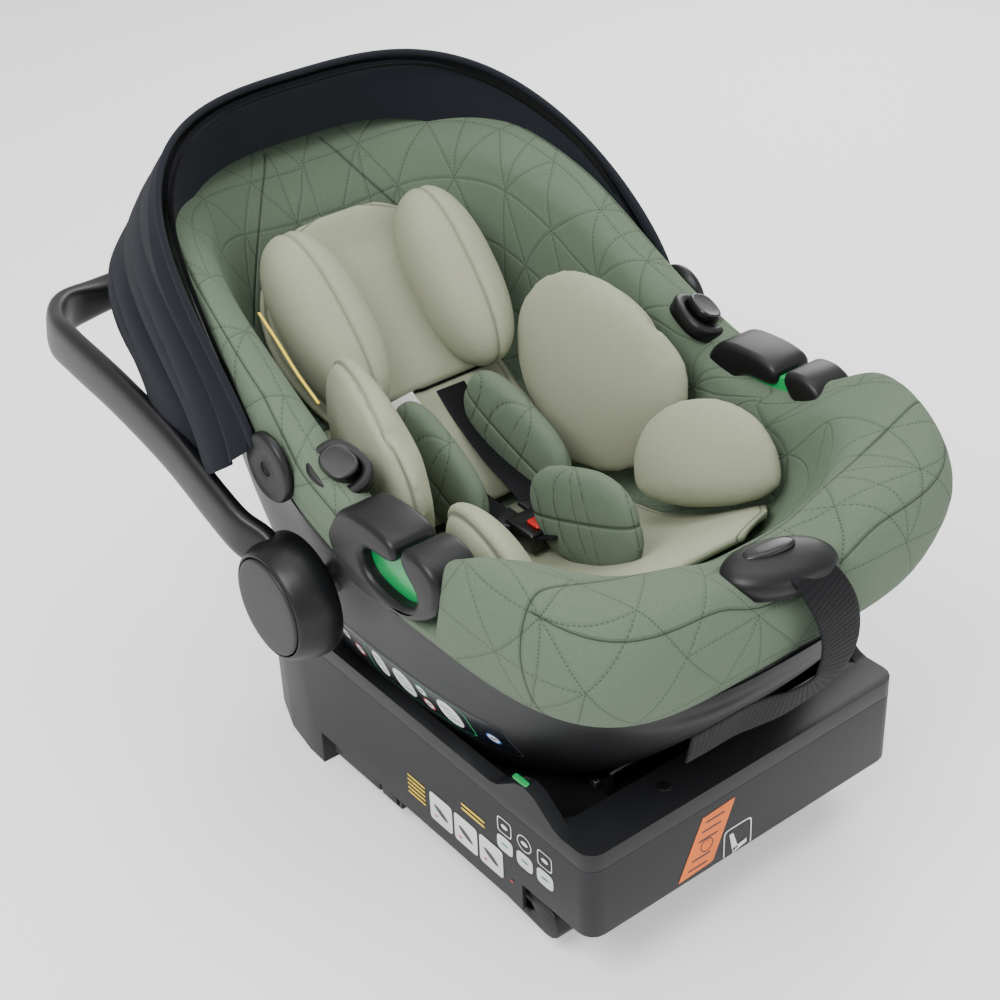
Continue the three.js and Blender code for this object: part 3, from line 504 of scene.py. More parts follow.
def loft(name, rows, look, body, closed=True, caps=(False, False), cloth=None, marks=None, **more):
    """A surface through rows of points in metres, with cloth coordinates and signed seam distances."""
    rows = np.asarray(rows, float)
    row_count, column_count = rows.shape[:2]
    faces = grid_faces(row_count, column_count, closed)
    if caps[0]:
        faces.append(tuple(range(column_count)))
    if caps[1]:
        faces.append(tuple(reversed(range((row_count - 1) * column_count, row_count * column_count))))
    piece = new_piece(name, rows.reshape(-1, 3), faces, look, body, **more)
    if cloth is None:
        cloth = np.stack([arc_lengths(rows, 1), arc_lengths(rows, 0)], axis=2)
    wrap = float(cloth[:, -1, 0].max()) + 0.01 if closed else None
    paint_cloth(piece, cloth.reshape(-1, 2), column_count, wrap)
    for mark, values in (marks or {}).items():
        paint(piece, mark, np.asarray(values).reshape(-1))
    return piece


def paint(piece, name, values):
    attribute = piece.data.attributes.get(name) or piece.data.attributes.new(name, "FLOAT", "POINT")
    attribute.data.foreach_set("value", np.asarray(values, np.float32))


def paint_cloth(piece, coordinates, column_count=None, wrap=None):
    """Cloth coordinates in metres, one pair per vertex, as a UV map."""
    mesh = piece.data
    layer = mesh.uv_layers.get("cloth") or mesh.uv_layers.new(name="cloth")
    corner_vertex = np.zeros(len(mesh.loops), np.int32)
    mesh.loops.foreach_get("vertex_index", corner_vertex)
    uv = np.asarray(coordinates, float)[corner_vertex]
    if wrap is not None:
        for face in mesh.polygons:
            corners = list(face.loop_indices)
            columns = corner_vertex[corners] % column_count
            if columns.max() - columns.min() > column_count / 2 and len(corners) == 4:
                for corner, column in zip(corners, columns):
                    if column < column_count / 2:
                        uv[corner, 0] += wrap
    layer.data.foreach_set("uv", uv.astype(np.float32).ravel())


def refine(node, look, width):
    """A CAD node's own shape with its flat triangles joined and its edges rounded."""
    mesh = frame["nodes"][node].data.copy()
    piece = link(node + "_finish", mesh)
    bm = bmesh.new()
    bm.from_mesh(mesh)
    bmesh.ops.remove_doubles(bm, verts=bm.verts, dist=0.00002)
    bmesh.ops.dissolve_limit(bm, angle_limit=math.radians(2), verts=bm.verts, edges=bm.edges)
    sharp = [e for e in bm.edges if len(e.link_faces) == 2 and e.calc_face_angle(0) > math.radians(28)]
    bmesh.ops.bevel(bm, geom=sharp, offset=width, segments=2, profile=0.6, affect="EDGES",
                    clamp_overlap=True, harden_normals=False)
    bm.to_mesh(mesh)
    bm.free()
    mesh.shade_smooth()
    mesh.set_sharp_from_angle(angle=math.radians(38))
    bodies = frame["record"]["behaviour"]["bodies"]
    owner = next(name for name, nodes in bodies.items() if node in nodes)
    return dress(piece, look, owner, (node,))


def outline_piece(name, outline, x0, x1, look, body, replaced=(), round_edge=0.003, curve_steps=6):
    """A plate along X from a closed (y, z) outline in mm, drawn as a smooth curve, with rounded edges."""
    points = np.array(outline, float)
    closed = np.concatenate([points[-1:], points, points[:2]])
    bm = bmesh.new()
    low = []
    for k in range(len(points)):
        for step in range(curve_steps):
            y, z = between(*closed[k:k + 4], step / curve_steps)
            low.append(bm.verts.new(place([x0, y, z])))
    lifted = bmesh.ops.extrude_face_region(bm, geom=[bm.faces.new(low)])
    moved = [item for item in lifted["geom"] if isinstance(item, bmesh.types.BMVert)]
    bmesh.ops.translate(bm, verts=moved, vec=((x1 - x0) / 1000, 0, 0))
    bmesh.ops.recalc_face_normals(bm, faces=bm.faces)
    rims = [e for e in bm.edges if len(e.link_faces) == 2 and e.calc_face_angle(0) > math.radians(60)
            and abs(e.verts[0].co.x - e.verts[1].co.x) < 1e-6]
    bmesh.ops.bevel(bm, geom=rims, offset=round_edge, segments=4, profile=0.5, affect="EDGES",
                    clamp_overlap=True)
    mesh = bpy.data.meshes.new(name)
    bm.to_mesh(mesh)
    bm.free()
    mesh.shade_smooth()
    mesh.set_sharp_from_angle(angle=math.radians(50))
    return dress(link(name, mesh), look, body, replaced)


# ---------- Bucket surfaces: shell and cover ----------
RING_POINTS = 200
SHELL_EDGE = [(-306, 262), (-240, 270), (-150, 280), (-60, 284), (0, 305), (100, 368), (200, 414), (320, 432)]
# Each ring: half width, foot-end Y, head-end Y, heights along Y, squareness of the foot end.
SHELL_RINGS = [
    (197, -307, 321, [(y, z + 1) for y, z in SHELL_EDGE], 3.2),
    (196, -306, 320, SHELL_EDGE, 3.2),
    (184, -297, 313, [(-297, 244), (-150, 254), (0, 270), (100, 326), (200, 380), (313, 408)], 3.2),
    (175, -290, 306, [(-290, 225), (-150, 230), (0, 238), (100, 285), (200, 345), (306, 385)], 3.2),
    (160, -258, 275, [(-258, 185), (-150, 180), (0, 178), (100, 195), (200, 262), (275, 330)], 3.2),
    (136, -200, 215, [(-200, 126), (0, 121), (100, 128), (215, 215)], 3.2),
    (112, -148, 165, [(-148, 97), (-60, 90), (60, 90), (165, 140)], 3.2),
    (70, -90, 100, [(-90, 92), (100, 100)], 3.2),
    (6, -20, 20, [(-20, 91), (20, 91)], 2.4),
]
COVER_RINGS = [
    (176, -274, 304, [(y, z - 2) for y, z in SHELL_EDGE], 4),
    (198, -307, 321, [(y, z + 2) for y, z in SHELL_EDGE], 5),
    (206, -316, 326, [(-316, 316), (-205, 342), (-150, 312), (-60, 318), (0, 338), (100, 398), (200, 441),
                      (326, 452)], 7),
    (195, -303, 314, [(-303, 350), (-270, 370), (-210, 387), (-150, 338), (-60, 337), (0, 368), (60, 398),
                      (124, 437), (198, 466), (260, 474), (314, 470)], 6),
    (168, -264, 294, [(-264, 348), (-200, 362), (-150, 328), (-60, 330), (0, 360), (100, 413), (198, 450),
                      (294, 461)], 4),
    (158, -236, 280, [(-236, 303), (-150, 292), (0, 312), (100, 376), (200, 424), (280, 438)], 3.6),
    (147, -190, 252, [(-190, 264), (-100, 222), (0, 212), (100, 262), (200, 345), (252, 392)], 3.6),
    (122, -140, 226, [(-140, 230), (-60, 196), (0, 190), (53, 207), (121, 252), (206, 345), (226, 360)], 3.6),
]


def bucket_ring(half_width, foot_y, head_y, heights, foot_power):
    """A rounded plan outline in mm whose height follows a profile along Y; point 0 is the head-end middle."""
    angle = 2 * np.pi * np.arange(RING_POINTS) / RING_POINTS
    power = np.where(np.cos(angle) > 0, 2.8, foot_power)
    x = half_width * squared(np.sin(angle), power)
    y = (foot_y + head_y) / 2 + (head_y - foot_y) / 2 * squared(np.cos(angle), power)
    z = np.interp(y, *np.array(heights, float).T)
    ring = spaced(np.stack([x, y, z], axis=1), RING_POINTS, closed=True)
    for _ in range(14):
        ring[:, 2] = (np.roll(ring[:, 2], 1) + 2 * ring[:, 2] + np.roll(ring[:, 2], -1)) / 4
    return ring


DIP_DEPTH = 20.0
DIP_HALF_WIDTH = 62.0


def front_dip(points):
    """The foot-end rim is lower in the middle, where the harness adjuster sits."""
    points = points.copy()
    x, y, z = np.moveaxis(points, -1, 0)
    foot = np.clip((-238 - y) / 40, 0, 1)
    high = np.clip((z - 290) / 50, 0, 1)
    points[..., 2] = z - DIP_DEPTH * foot * high * np.exp(-(x / DIP_HALF_WIDTH) ** 4)
    return points


def guide_pocket(points):
    """The cover sinks in behind the belt guides' slots."""
    points = points.copy()
    x, y, z = np.moveaxis(points, -1, 0)
    inside = 1 - np.clip((((y + 112) / 52) ** 4 + ((z - 324) / 30) ** 4 - 0.55) / 0.6, 0, 1)
    points[..., 0] = np.sign(x) * np.minimum(np.abs(x), 206 - 24 * inside)
    return points


def thicken(piece, thickness):
    wall = piece.modifiers.new("wall", "SOLIDIFY")
    wall.thickness = thickness
    wall.offset = -1


def build_shell():
    rings = np.array([bucket_ring(*ring) for ring in SHELL_RINGS])
    rows = smooth_rows(rings, 64)
    shell = loft("shell_body", place(rows), "shell_grey", "carrier", replaced=("seat_shell",))
    thicken(shell, 0.003)
    return shell


def rim_seam_position(y):
    """Where the lengthwise rim seam runs, as a ring number, by Y in mm."""
    return np.interp(y, [-70, -45, 10, 60, 330], [2.35, 2.4, 2.5, 3.0, 3.0])


NO_SEAM = 1.0                                       # a distance in metres that keeps a seam away
BAND_SEAM_RING = 2.62
RIM_ROW = 40


def build_cover():
    """The quilted cover: a closed-in bucket surface that carries its seams as signed distances."""
    rings = np.array([bucket_ring(*ring) for ring in COVER_RINGS])
    centre = rings[-1] * np.array([0.0, 1.0, 1.0])
    inner = [rings[-1] + (centre - rings[-1]) * share for share in (0.3, 0.65, 0.96)]
    rows = smooth_rows(np.concatenate([rings, inner]), 110)
    ring_number = np.linspace(0, len(rings) + len(inner) - 1, 110)
    rows = guide_pocket(front_dip(rows))
    run = arc_lengths(place(rows), 0)
    x, y, z = np.moveaxis(rows, -1, 0)
    rim = np.zeros_like(x)
    band = np.zeros_like(x)
    for column in range(RING_POINTS):
        rim_ring = rim_seam_position(rows[RIM_ROW, column, 1])
        rim[:, column] = run[:, column] - np.interp(rim_ring, ring_number, run[:, column])
        band[:, column] = run[:, column] - np.interp(BAND_SEAM_RING, ring_number, run[:, column])
    panel = (y + 252 + 12 * (1 - np.abs(x) / 200)) / 1000
    rim[y < -58] = NO_SEAM
    band[panel > 0] = NO_SEAM
    inside = ring_number[:, None] > 3.6
    head = np.where((y > 215) & inside, (np.abs(x) - 40 - (450 - z) * 0.7) / 1000, NO_SEAM)
    marks = {"seam_rim": rim, "seam_front": band, "seam_panel": panel, "seam_head": head}
    rim_line = arc_lengths(place(rows[45:46]), 1)
    cloth = np.stack([np.repeat(rim_line, len(rows), axis=0), run], axis=2)
    cloth[..., 0] *= 0.92
    return loft("cover_fabric", place(rows), "sage_knit", "carrier", cloth=cloth, marks=marks,
                replaced=("seat_cover", "foam_liner"))


# ---------- Padded pieces ----------
PAD_PRESSURE = 4.0
PAD_FRAMES = 20
PAD_VOXEL = 0.0045
PAD_START = 0.96                                    # the share of its size at which a pad starts to swell


def spots(mesh):
    return np.array([v.co for v in mesh.vertices])


def move_to(mesh, points):
    mesh.vertices.foreach_set("co", points.astype(np.float32).ravel())


def inflate(piece, cap):
    """Puffs a closed piece up as stuffed cloth, by a cloth simulation whose result is kept in the mesh."""
    start = spots(piece.data)
    centre = start.mean(axis=0)
    move_to(piece.data, centre + (start - centre) * PAD_START)
    remesh = piece.modifiers.new("voxels", "REMESH")
    remesh.mode = "VOXEL"
    remesh.voxel_size = PAD_VOXEL
    keep_modifiers(piece)
    before = spots(piece.data)
    cloth = piece.modifiers.new("cloth", "CLOTH")
    cloth.settings.quality = 4
    cloth.settings.mass = 0.3
    cloth.settings.use_pressure = True
    cloth.settings.uniform_pressure_force = PAD_PRESSURE
    cloth.settings.tension_stiffness = 12
    cloth.settings.bending_stiffness = 0.6
    cloth.settings.effector_weights.gravity = 0
    cloth.point_cache.frame_end = PAD_FRAMES
    scene = bpy.context.scene
    for number in range(1, PAD_FRAMES + 1):
        scene.frame_set(number)
    posed = piece.evaluated_get(bpy.context.evaluated_depsgraph_get())
    move = spots(posed.to_mesh()) - before
    posed.to_mesh_clear()
    piece.modifiers.clear()
    scene.frame_set(1)
    length = np.linalg.norm(move, axis=1, keepdims=True)
    move *= np.minimum(1.0, cap / np.maximum(length, 1e-9))
    move_to(piece.data, before + move)
    even = piece.modifiers.new("even", "SMOOTH")
    even.factor = 0.5
    even.iterations = 7
    piece.modifiers.new("finer", "SUBSURF").levels = 1
    keep_modifiers(piece)


def keep_modifiers(piece):
    """Applies a piece's modifiers to its mesh."""
    mesh = bpy.data.meshes.new_from_object(piece.evaluated_get(bpy.context.evaluated_depsgraph_get()))
    piece.modifiers.clear()
    piece.data = mesh


def local_frame(spot, tilt=0.0, turn=0.0, lean=0.0):
    """A pad's own frame: leaned about Y, tilted about X, turned about Z, then put at spot (mm)."""
    turned = Matrix.Rotation(turn, 4, "Z") @ Matrix.Rotation(tilt, 4, "X") @ Matrix.Rotation(lean, 4, "Y")
    return Matrix.Translation(place(spot)) @ turned


def ball(size, powers):
    """A rounded cushion form with full widths in mm; powers shape the (x, plan) sections."""
    thin, plan = powers
    y, z = oval_parts(56, plan)
    rows = []
    for polar in np.linspace(0.02, math.pi - 0.02, 36):
        reach = squared(math.sin(polar), thin)
        rows.append(np.stack([np.full_like(y, squared(math.cos(polar), thin)), reach * y, reach * z], axis=1))
    return np.array(rows) * np.array(size) / 2000.0


def pad(name, size, spot, look, body, node, tilt, powers, turn=0.0, lean=0.0, shape=None,
        seam_offset=0.0, flat_axis=0, cap=0.008, groove=0.0022):
    """A stuffed pad: its form is puffed by simulation, then its edge seam is drawn in and marked."""
    rows = ball(size, powers)
    if shape:
        rows = shape(rows)
    if flat_axis == 2:
        rows = rows[..., [2, 1, 0]]
    to_world = local_frame(spot, tilt, turn, lean)
    piece = loft(name, rows, look, body, caps=(True, True), replaced=(node,))
    piece.parent = None
    inflate(piece, cap)
    local = spots(piece.data)
    normals = np.array([v.normal for v in piece.data.vertices])
    seam = local[:, flat_axis] - seam_offset / 1000
    pull = groove * np.exp(-(seam / 0.0035) ** 2)
    local -= normals * pull[:, None]
    move_to(piece.data, local)
    flat = local[:, [1, 2]] if flat_axis == 0 else local[:, [0, 1]]
    piece.data.transform(to_world)
    paint(piece, "seam_edge", seam)
    paint_cloth(piece, flat)
    piece.data.shade_smooth()
    dress(piece, look, body, (node,))


def half_disc(rows):
    """Flattens the lower part of a cushion form, so that it stands on the seat like a half disc."""
    rows = rows.copy()
    rows[..., 2] = np.where(rows[..., 2] < 0, rows[..., 2] * 0.38, rows[..., 2])
    return rows


def teardrop(rows):
    """Narrows the head end of a cushion form."""
    rows = rows.copy()
    reach = np.abs(rows[..., 1]).max()
    rows[..., 2] *= 1 - 0.22 * np.clip(rows[..., 1] / reach, -0.4, 1)
    return rows


def build_pads():
    for side, sign in SIDES:
        pad(f"head_wing_{side}_pad", (76, 176, 80), (67 * sign, 164, 368), "insert_jersey", "headrest",
            f"head_wing_{side}", tilt=0.82, turn=-0.05 * sign, powers=(2.3, 2.4))
    for side, sign in SIDES:
        pad(f"body_wing_{side}_pad", (46, 190, 178), (113 * sign, 32, 312), "insert_jersey", "carrier",
            f"body_wing_{side}", tilt=0.82, turn=0.12 * sign, lean=0.16 * sign, powers=(1.85, 2.3),
            shape=teardrop, seam_offset=5 * sign)
    for side, sign in SIDES:
        pad(f"hip_{side}_pad", (50, 150, 136), (106 * sign, -111, 274), "insert_jersey", "carrier",
            f"hip_pad_{side}", tilt=-0.35, turn=0.28 * sign, lean=0.3 * sign, powers=(1.8, 2.15),
            shape=half_disc, seam_offset=8 * sign)
    for side, sign in SIDES:
        pad(f"shoulder_{side}_pad", (84, 138, 27), (41 * sign, 51, 268), "dark_green_pad", "carrier",
            f"shoulder_pad_{side}", tilt=0.42, turn=0.05 * sign, powers=(2.6, 3.4), flat_axis=2,
            cap=0.004, groove=0.0008)
    pad("crotch_pad_cushion", (92, 140, 25), (0, -85, 269), "dark_green_pad", "carrier", "crotch_pad",
        tilt=-0.34, powers=(2.6, 2.8), flat_axis=2, cap=0.004, groove=0.0008)


INSERT_DEPTH = 0.006
INSERT_LIFT = 5.0                                   # mm that an insert's middle stands over the cover


def strip_pad(name, path, half_widths, thickness, body, node, cover_tree):
    """A padded insert along a (y, z) path: crowned, its edges on the cover where the cover is higher."""
    path = np.array(path, float)
    run = run_along(path)
    stations = np.linspace(0, run[-1], 46)
    y = np.interp(stations, run, path[:, 0])
    z = np.interp(stations, run, path[:, 1])
    for _ in range(6):
        y[1:-1] = (y[:-2] + 2 * y[1:-1] + y[2:]) / 4
        z[1:-1] = (z[:-2] + 2 * z[1:-1] + z[2:]) / 4
    widths = np.interp(stations, np.linspace(0, run[-1], len(half_widths)), half_widths)
    across = np.linspace(-1, 1, 61)
    rows = []
    marks = []
    for yy, zz, width, share in zip(y, z, widths, stations / run[-1]):
        end = 1 - abs(2 * share - 1) ** 10
        crown = thickness / 2 * (1 - np.abs(across) ** 6) * end
        x = across * width
        height = []
        for xx, rise in zip(x, crown):
            top = cover_tree.ray_cast(Vector(place([xx, yy, 700])), DOWN)[0]
            rest = top.z * 1000 if top is not None else zz
            height.append(max(zz + rise, rest + 1.0 + INSERT_LIFT * rise / (thickness / 2)))
        rows.append(np.stack([x, np.full_like(x, yy), np.array(height)], axis=1))
        marks.append((1 - np.abs(across)) * width / 1000 - 0.006)
    rows = np.array(rows)
    piece = loft(name, place(rows), "insert_jersey", body, closed=False, replaced=(node,),
                 marks={"seam_edge": np.array(marks)})
    thicken(piece, INSERT_DEPTH)
    keep_modifiers(piece)
    piece.data.shade_smooth()


def build_inserts(cover_tree):
    strip_pad("seat_insert",
              [(-206, 292), (-188, 282), (-150, 257), (-110, 233), (-60, 212), (0, 205), (38, 213)],
              [52, 104, 128, 128, 120, 114, 110, 108, 106, 104], 13, "carrier", "seat_pad", cover_tree)
    strip_pad("back_insert", [(46, 219), (56, 227), (90, 247), (121, 269), (138, 287)],
              [104, 104, 102, 98, 94], 11, "carrier", "back_pad", cover_tree)
    strip_pad("headrest_insert", [(140, 289), (152, 300), (200, 352), (226, 386), (240, 420)],
              [88, 96, 102, 106, 106, 102, 92, 72, 30], 12, "headrest", "headrest_pad", cover_tree)


# ---------- Swept and turned pieces ----------
def sweep(name, path, up, widths, heights, look, body, power=2.6, around=28, **more):
    """A tube in mm along a path; its section is a rounded box, heights lie along the direction up."""
    tangents, up = path_frame(path, up)
    side = np.cross(tangents, up)
    across, tall = oval_parts(around, power)
    widths = np.broadcast_to(np.asarray(widths, float), len(path))
    heights = np.broadcast_to(np.asarray(heights, float), len(path))
    rows = (path[:, None, :] + side[:, None, :] * (widths[:, None] * (across / 2))[..., None]
            + up[:, None, :] * (heights[:, None] * (tall / 2))[..., None])
    return loft(name, place(rows), look, body, caps=(True, True), **more)


def turned(name, profile, sign, look, body, centre=HUB_CENTRE, caps=(True, True), **more):
    """A form turned about a line along X, from (x, radius) points in mm, on the side given by sign."""
    angle = np.linspace(0, 2 * np.pi, 72, endpoint=False)
    rows = [np.stack([np.full(72, sign * x), centre[0] + radius * np.cos(angle),
                      centre[1] + radius * np.sin(angle)], axis=1) for x, radius in profile]
    return loft(name, place(np.array(rows)), look, body, caps=caps, **more)


HANDLE_SIDE = [(216, 14, 252), (216, 28, 263), (216.5, 42, 273), (224, 62, 282.5), (226, 90, 294),
               (226, 155, 317), (226, 235, 333), (223, 318, 338), (214, 368, 334), (192, 404, 330),
               (156, 419, 327), (106, 423.75, 327)]


# (x, radius) profiles of the hub housing and of its cap.
DOME_CURVE = [(198.5, 30), (198.5, 44), (200.5, 49.4), (206, 51), (213, 51), (221, 49.4), (228, 47),
              (233.5, 44.6), (235.8, 42.6), (235.6, 41.2)]
CAP_CURVE = [(236, 39.9), (237.1, 39.2), (237.6, 37.4), (237.9, 30), (238, 14), (238, 0.1)]


def build_handle():
    mirrored = [(-x, y, z) for x, y, z in reversed(HANDLE_SIDE)]
    path = smooth_path(HANDLE_SIDE + [(0, 423.75, 327)] + mirrored, 260)
    grip = np.clip(3 * (1 - np.abs(path[:, 0]) / 190), 0, 1)
    grip = grip * grip * (3 - 2 * grip)
    sweep("handle_bow", path, (0, -0.27, 0.96), 17 + 9 * grip, 44 - 14 * grip, "handle_black", "carry_handle",
          power=3.0, replaced=("handle",))
    dome = curve_profile(DOME_CURVE, 70) + [(233, 40.9), (226, 40.9), (225.4, 38)]
    cap = [(232, 39.9)] + curve_profile(CAP_CURVE, 40)
    for side, sign in SIDES:
        turned(f"hub_housing_{side}", dome, sign, "handle_black", "carry_handle", caps=(False, True))
        turned(f"hub_cap_{side}", cap, sign, "cap_taupe", f"hub_release_{side}",
               replaced=(f"hub_button_{side}",))


# ---------- Webbing ----------
# Half a ribbon's section: shares of the half width, and of the half thickness there.
RIBBON_ACROSS = np.array([-1, -0.94, -0.8, -0.4, 0, 0.4, 0.8, 0.94, 1])
RIBBON_BULGE = np.array([0.3, 0.8, 1, 1, 1, 1, 1, 0.8, 0.3])


def ribbon(name, path, width, thickness, side, look, body, **more):
    """Flat webbing in mm along a path, its width along the given side direction, with its own weave."""
    tangents, side = path_frame(path, side)
    normal = np.cross(side, tangents)
    loop = np.concatenate([RIBBON_ACROSS, RIBBON_ACROSS[::-1]])
    lift = np.concatenate([RIBBON_BULGE, -RIBBON_BULGE[::-1]])
    rows = (path[:, None, :] + side[:, None, :] * (loop * width / 2)[None, :, None]
            + normal[:, None, :] * (lift * thickness / 2)[None, :, None])
    run = run_along(path) / 1000
    cloth = np.stack([np.broadcast_to(loop * width / 2000, rows.shape[:2]),
                      np.broadcast_to(run[:, None], rows.shape[:2])], axis=2)
    return loft(name, place(rows), look, body, cloth=cloth, caps=(True, True), **more)


STRAP_WIDTH = 38
STRAP_LINE = [(0, -312.5, 342), (0, -323, 341), (3, -331, 331), (11, -335, 314), (18, -335, 294),
              (21, -333, 272), (17, -329, 252), (4, -324, 240), (-16, -319, 234), (-36, -315, 234),
              (-54, -313, 235), (-76, -312, 234), (-100, -309, 231)]


def build_adjuster_strap():
    path = smooth_path(STRAP_LINE, 140)
    turning = np.clip((np.linspace(0, 1, 140) - 0.42) / 0.3, 0, 1)[:, None]
    side = (1 - turning) * np.array([1.0, 0, 0]) + turning * np.array([0, 0.35, -0.94])
    strap = ribbon("adjuster_strap_tail", path, STRAP_WIDTH, 2.0, side, "webbing", "carrier",
                   replaced=("adjuster_strap",))


def build_harness():
    for side, sign in SIDES:
        line = [(20 * sign, -6.5, 233), (24 * sign, 20, 240), (29 * sign, 66, 250), (32 * sign, 104, 266),
                (33 * sign, 132, 285)]
        ribbon(f"shoulder_webbing_{side}", smooth_path(line, 60), 30, 2.2, (1, 0, 0), "webbing", "carrier",
               replaced=(f"shoulder_strap_{side}",))
        tongue = [(13 * sign, -16, 235), (16 * sign, -7, 235.5), (19 * sign, 0, 236)]
        sweep(f"buckle_tongue_{side}", smooth_path(tongue, 20), (0, 0, 1), np.linspace(15, 32, 20), 5,
              "black_plastic", "carrier", power=5)
        hip_line = [(26 * sign, -2, 236), (44 * sign, -2, 236), (60 * sign, -4, 232), (74 * sign, -8, 226)]
        ribbon(f"hip_webbing_{side}", smooth_path(hip_line, 40), 26, 2.0, (0.1, 1, 0.2), "webbing", "carrier")
    line = [(0, -64, 246), (0, -52, 240), (0, -42, 235)]
    ribbon("crotch_webbing", smooth_path(line, 24), 36, 2.2, (1, 0, 0), "webbing", "carrier")


# ---------- Canopy ----------
ARCH_FEET = [(212, 48, 362), (212, 62, 346), (213, 82, 329), (213, 104, 318), (213, 142, 322),
             (213, 185, 336), (211, 222, 358)]
ARCH_CROWNS = [(278, 539), (291, 526), (309, 506), (328, 484), (340, 462), (345, 442), (346, 424)]
CANOPY_STATIONS = 150
CANOPY_CENTRE = np.array([0, 150, 250])


def arch_line(arch):
    """One arch of the canopy at any position along the fold from 0, the front hem, to 6, the back hem."""
    foot = [np.interp(arch, range(7), column) for column in zip(*ARCH_FEET)]
    crown = [np.interp(arch, range(7), column) for column in zip(*ARCH_CROWNS)]
    angle = np.pi * np.linspace(0, 1, 4 * CANOPY_STATIONS)
    rise = np.clip(np.sin(angle), 0, 1)
    x = foot[0] * np.sign(np.cos(angle)) * np.abs(np.cos(angle)) ** 0.65
    y = foot[1] + (crown[0] - foot[1]) * rise ** 0.77
    z = foot[2] + (crown[1] - foot[2]) * rise ** 0.55
    return spaced(np.stack([x, y, z], axis=1), CANOPY_STATIONS)


def build_canopy():
    """One continuous sheet over seven arches, gathered in folds toward its feet, with a hem and a lining."""
    stations = np.linspace(0, 6, 121)
    rows = smooth_rows(np.array([arch_line(k) for k in range(7)]), len(stations))
    normal = np.cross(np.gradient(rows, axis=0), np.gradient(rows, axis=1))
    normal /= np.linalg.norm(normal, axis=2, keepdims=True)
    normal *= np.sign(((rows - CANOPY_CENTRE) * normal).sum(axis=2, keepdims=True))
    across = np.linspace(0, 1, CANOPY_STATIONS)
    down_side = np.abs(2 * across - 1)
    gather = np.clip((down_side - 0.3) / 0.7, 0, 1) ** 1.3
    envelope = np.clip((stations - 0.45) / 0.5, 0, 1) * np.clip((5.8 - stations) / 0.6, 0, 1)
    sway = 0.5 * np.sin(across * 8.0 + 0.6) + 0.16 * np.sin(across * 23.0)
    shifted = stations[:, None] + sway[None, :]
    ridge = np.abs(np.sin(np.pi * shifted / 1.9)) ** 0.6
    minor = np.abs(np.sin(np.pi * shifted / 1.05 + 1.1)) ** 0.7
    height = (12.0 * ridge + 5.0 * minor * np.sin(across * 13.0)[None, :] ** 2) * gather[None, :]
    height += 2.0 * np.sin(np.pi * np.clip(stations / 6, 0, 1))[:, None]
    height *= envelope[:, None]
    height *= np.clip(stations / 0.5, 0, 1)[:, None]
    outer = rows + normal * height[..., None]
    piece = loft("canopy_hood", place(outer), "canopy_cloth", "canopy", closed=False,
                 replaced=("canopy_fabric",))
    hem = smooth_path(outer[0], 220) + np.array([0.0, -0.45, -0.9]) * 1.5
    sweep("canopy_hem", hem, (0, -0.5, 0.86), 6, 6, "canopy_cloth", "canopy", power=2, around=12)
    lining_rows = []
    for share in np.linspace(0, 1, 16):
        line = arch_line(0.15 + 1.3 * share) * np.array([1 - 0.04 - 0.05 * share, 1, 1])
        line[:, 1] -= 4 + 10 * share
        line[:, 2] -= 5 + 34 * share ** 1.3
        lining_rows.append(line)
    loft("canopy_lining", place(np.array(lining_rows)), "canopy_cloth", "canopy", closed=False)


# ---------- Raised fittings and printed labels ----------
def boss(name, spot, normal, along, half_size, profile, look, body, power=2.6, **more):
    """A raised fitting in mm: ovals, each (share of the half size, height), on a slanted spot."""
    up = np.array(normal, float) / np.linalg.norm(normal)
    first = np.array(along, float) - up * np.dot(up, along)
    first /= np.linalg.norm(first)
    second = np.cross(up, first)
    across, along = oval_parts(64, power)
    oval_line = across[:, None] * half_size[0] * first + along[:, None] * half_size[1] * second
    rows = [np.array(spot, float) + share * oval_line + height * up for share, height in profile]
    return loft(name, place(np.array(rows)), look, body, caps=(True, True), **more)


BEZEL_PROFILE = [(1.0, -9), (1.02, 0.5), (0.99, 2.6), (0.93, 3.6), (0.82, 3.8), (0.68, 3.4), (0.66, 2),
                 (0.66, -8)]
PUSH_PROFILE = [(1.0, -3), (1.0, 10), (0.98, 11), (0.92, 11.6), (0.84, 11.4), (0.5, 11.1), (0.02, 11)]
DOME_PROFILE = [(1.0, -8), (1.0, 0), (0.97, 3), (0.9, 5.6), (0.78, 7.8), (0.6, 9.6), (0.4, 10.7),
                (0.2, 11.2), (0.02, 11.3)]
LENS_PROFILE = [(1.0, -3), (1.0, 1.5), (0.96, 2.5), (0.8, 3.2), (0.4, 3.5), (0.02, 3.6)]
DISC_PROFILE = [(206.4, 28.2), (210, 28.2), (212.4, 27.4), (213.2, 25.5), (213.2, 8), (212.4, 6.5),
                (210.5, 6), (210.5, 0.1)]
PLUG_PROFILE = [(1.0, -0.5), (1.0, 0.5), (0.9, 0.9), (0.02, 0.9)]
INDICATOR_PROFILE = [(1.0, -1), (1.0, 0.2), (0.8, 0.5), (0.02, 0.6)]
WINDOW_PROFILE = [(1.0, -1), (1.0, 0.25), (0.02, 0.3)]


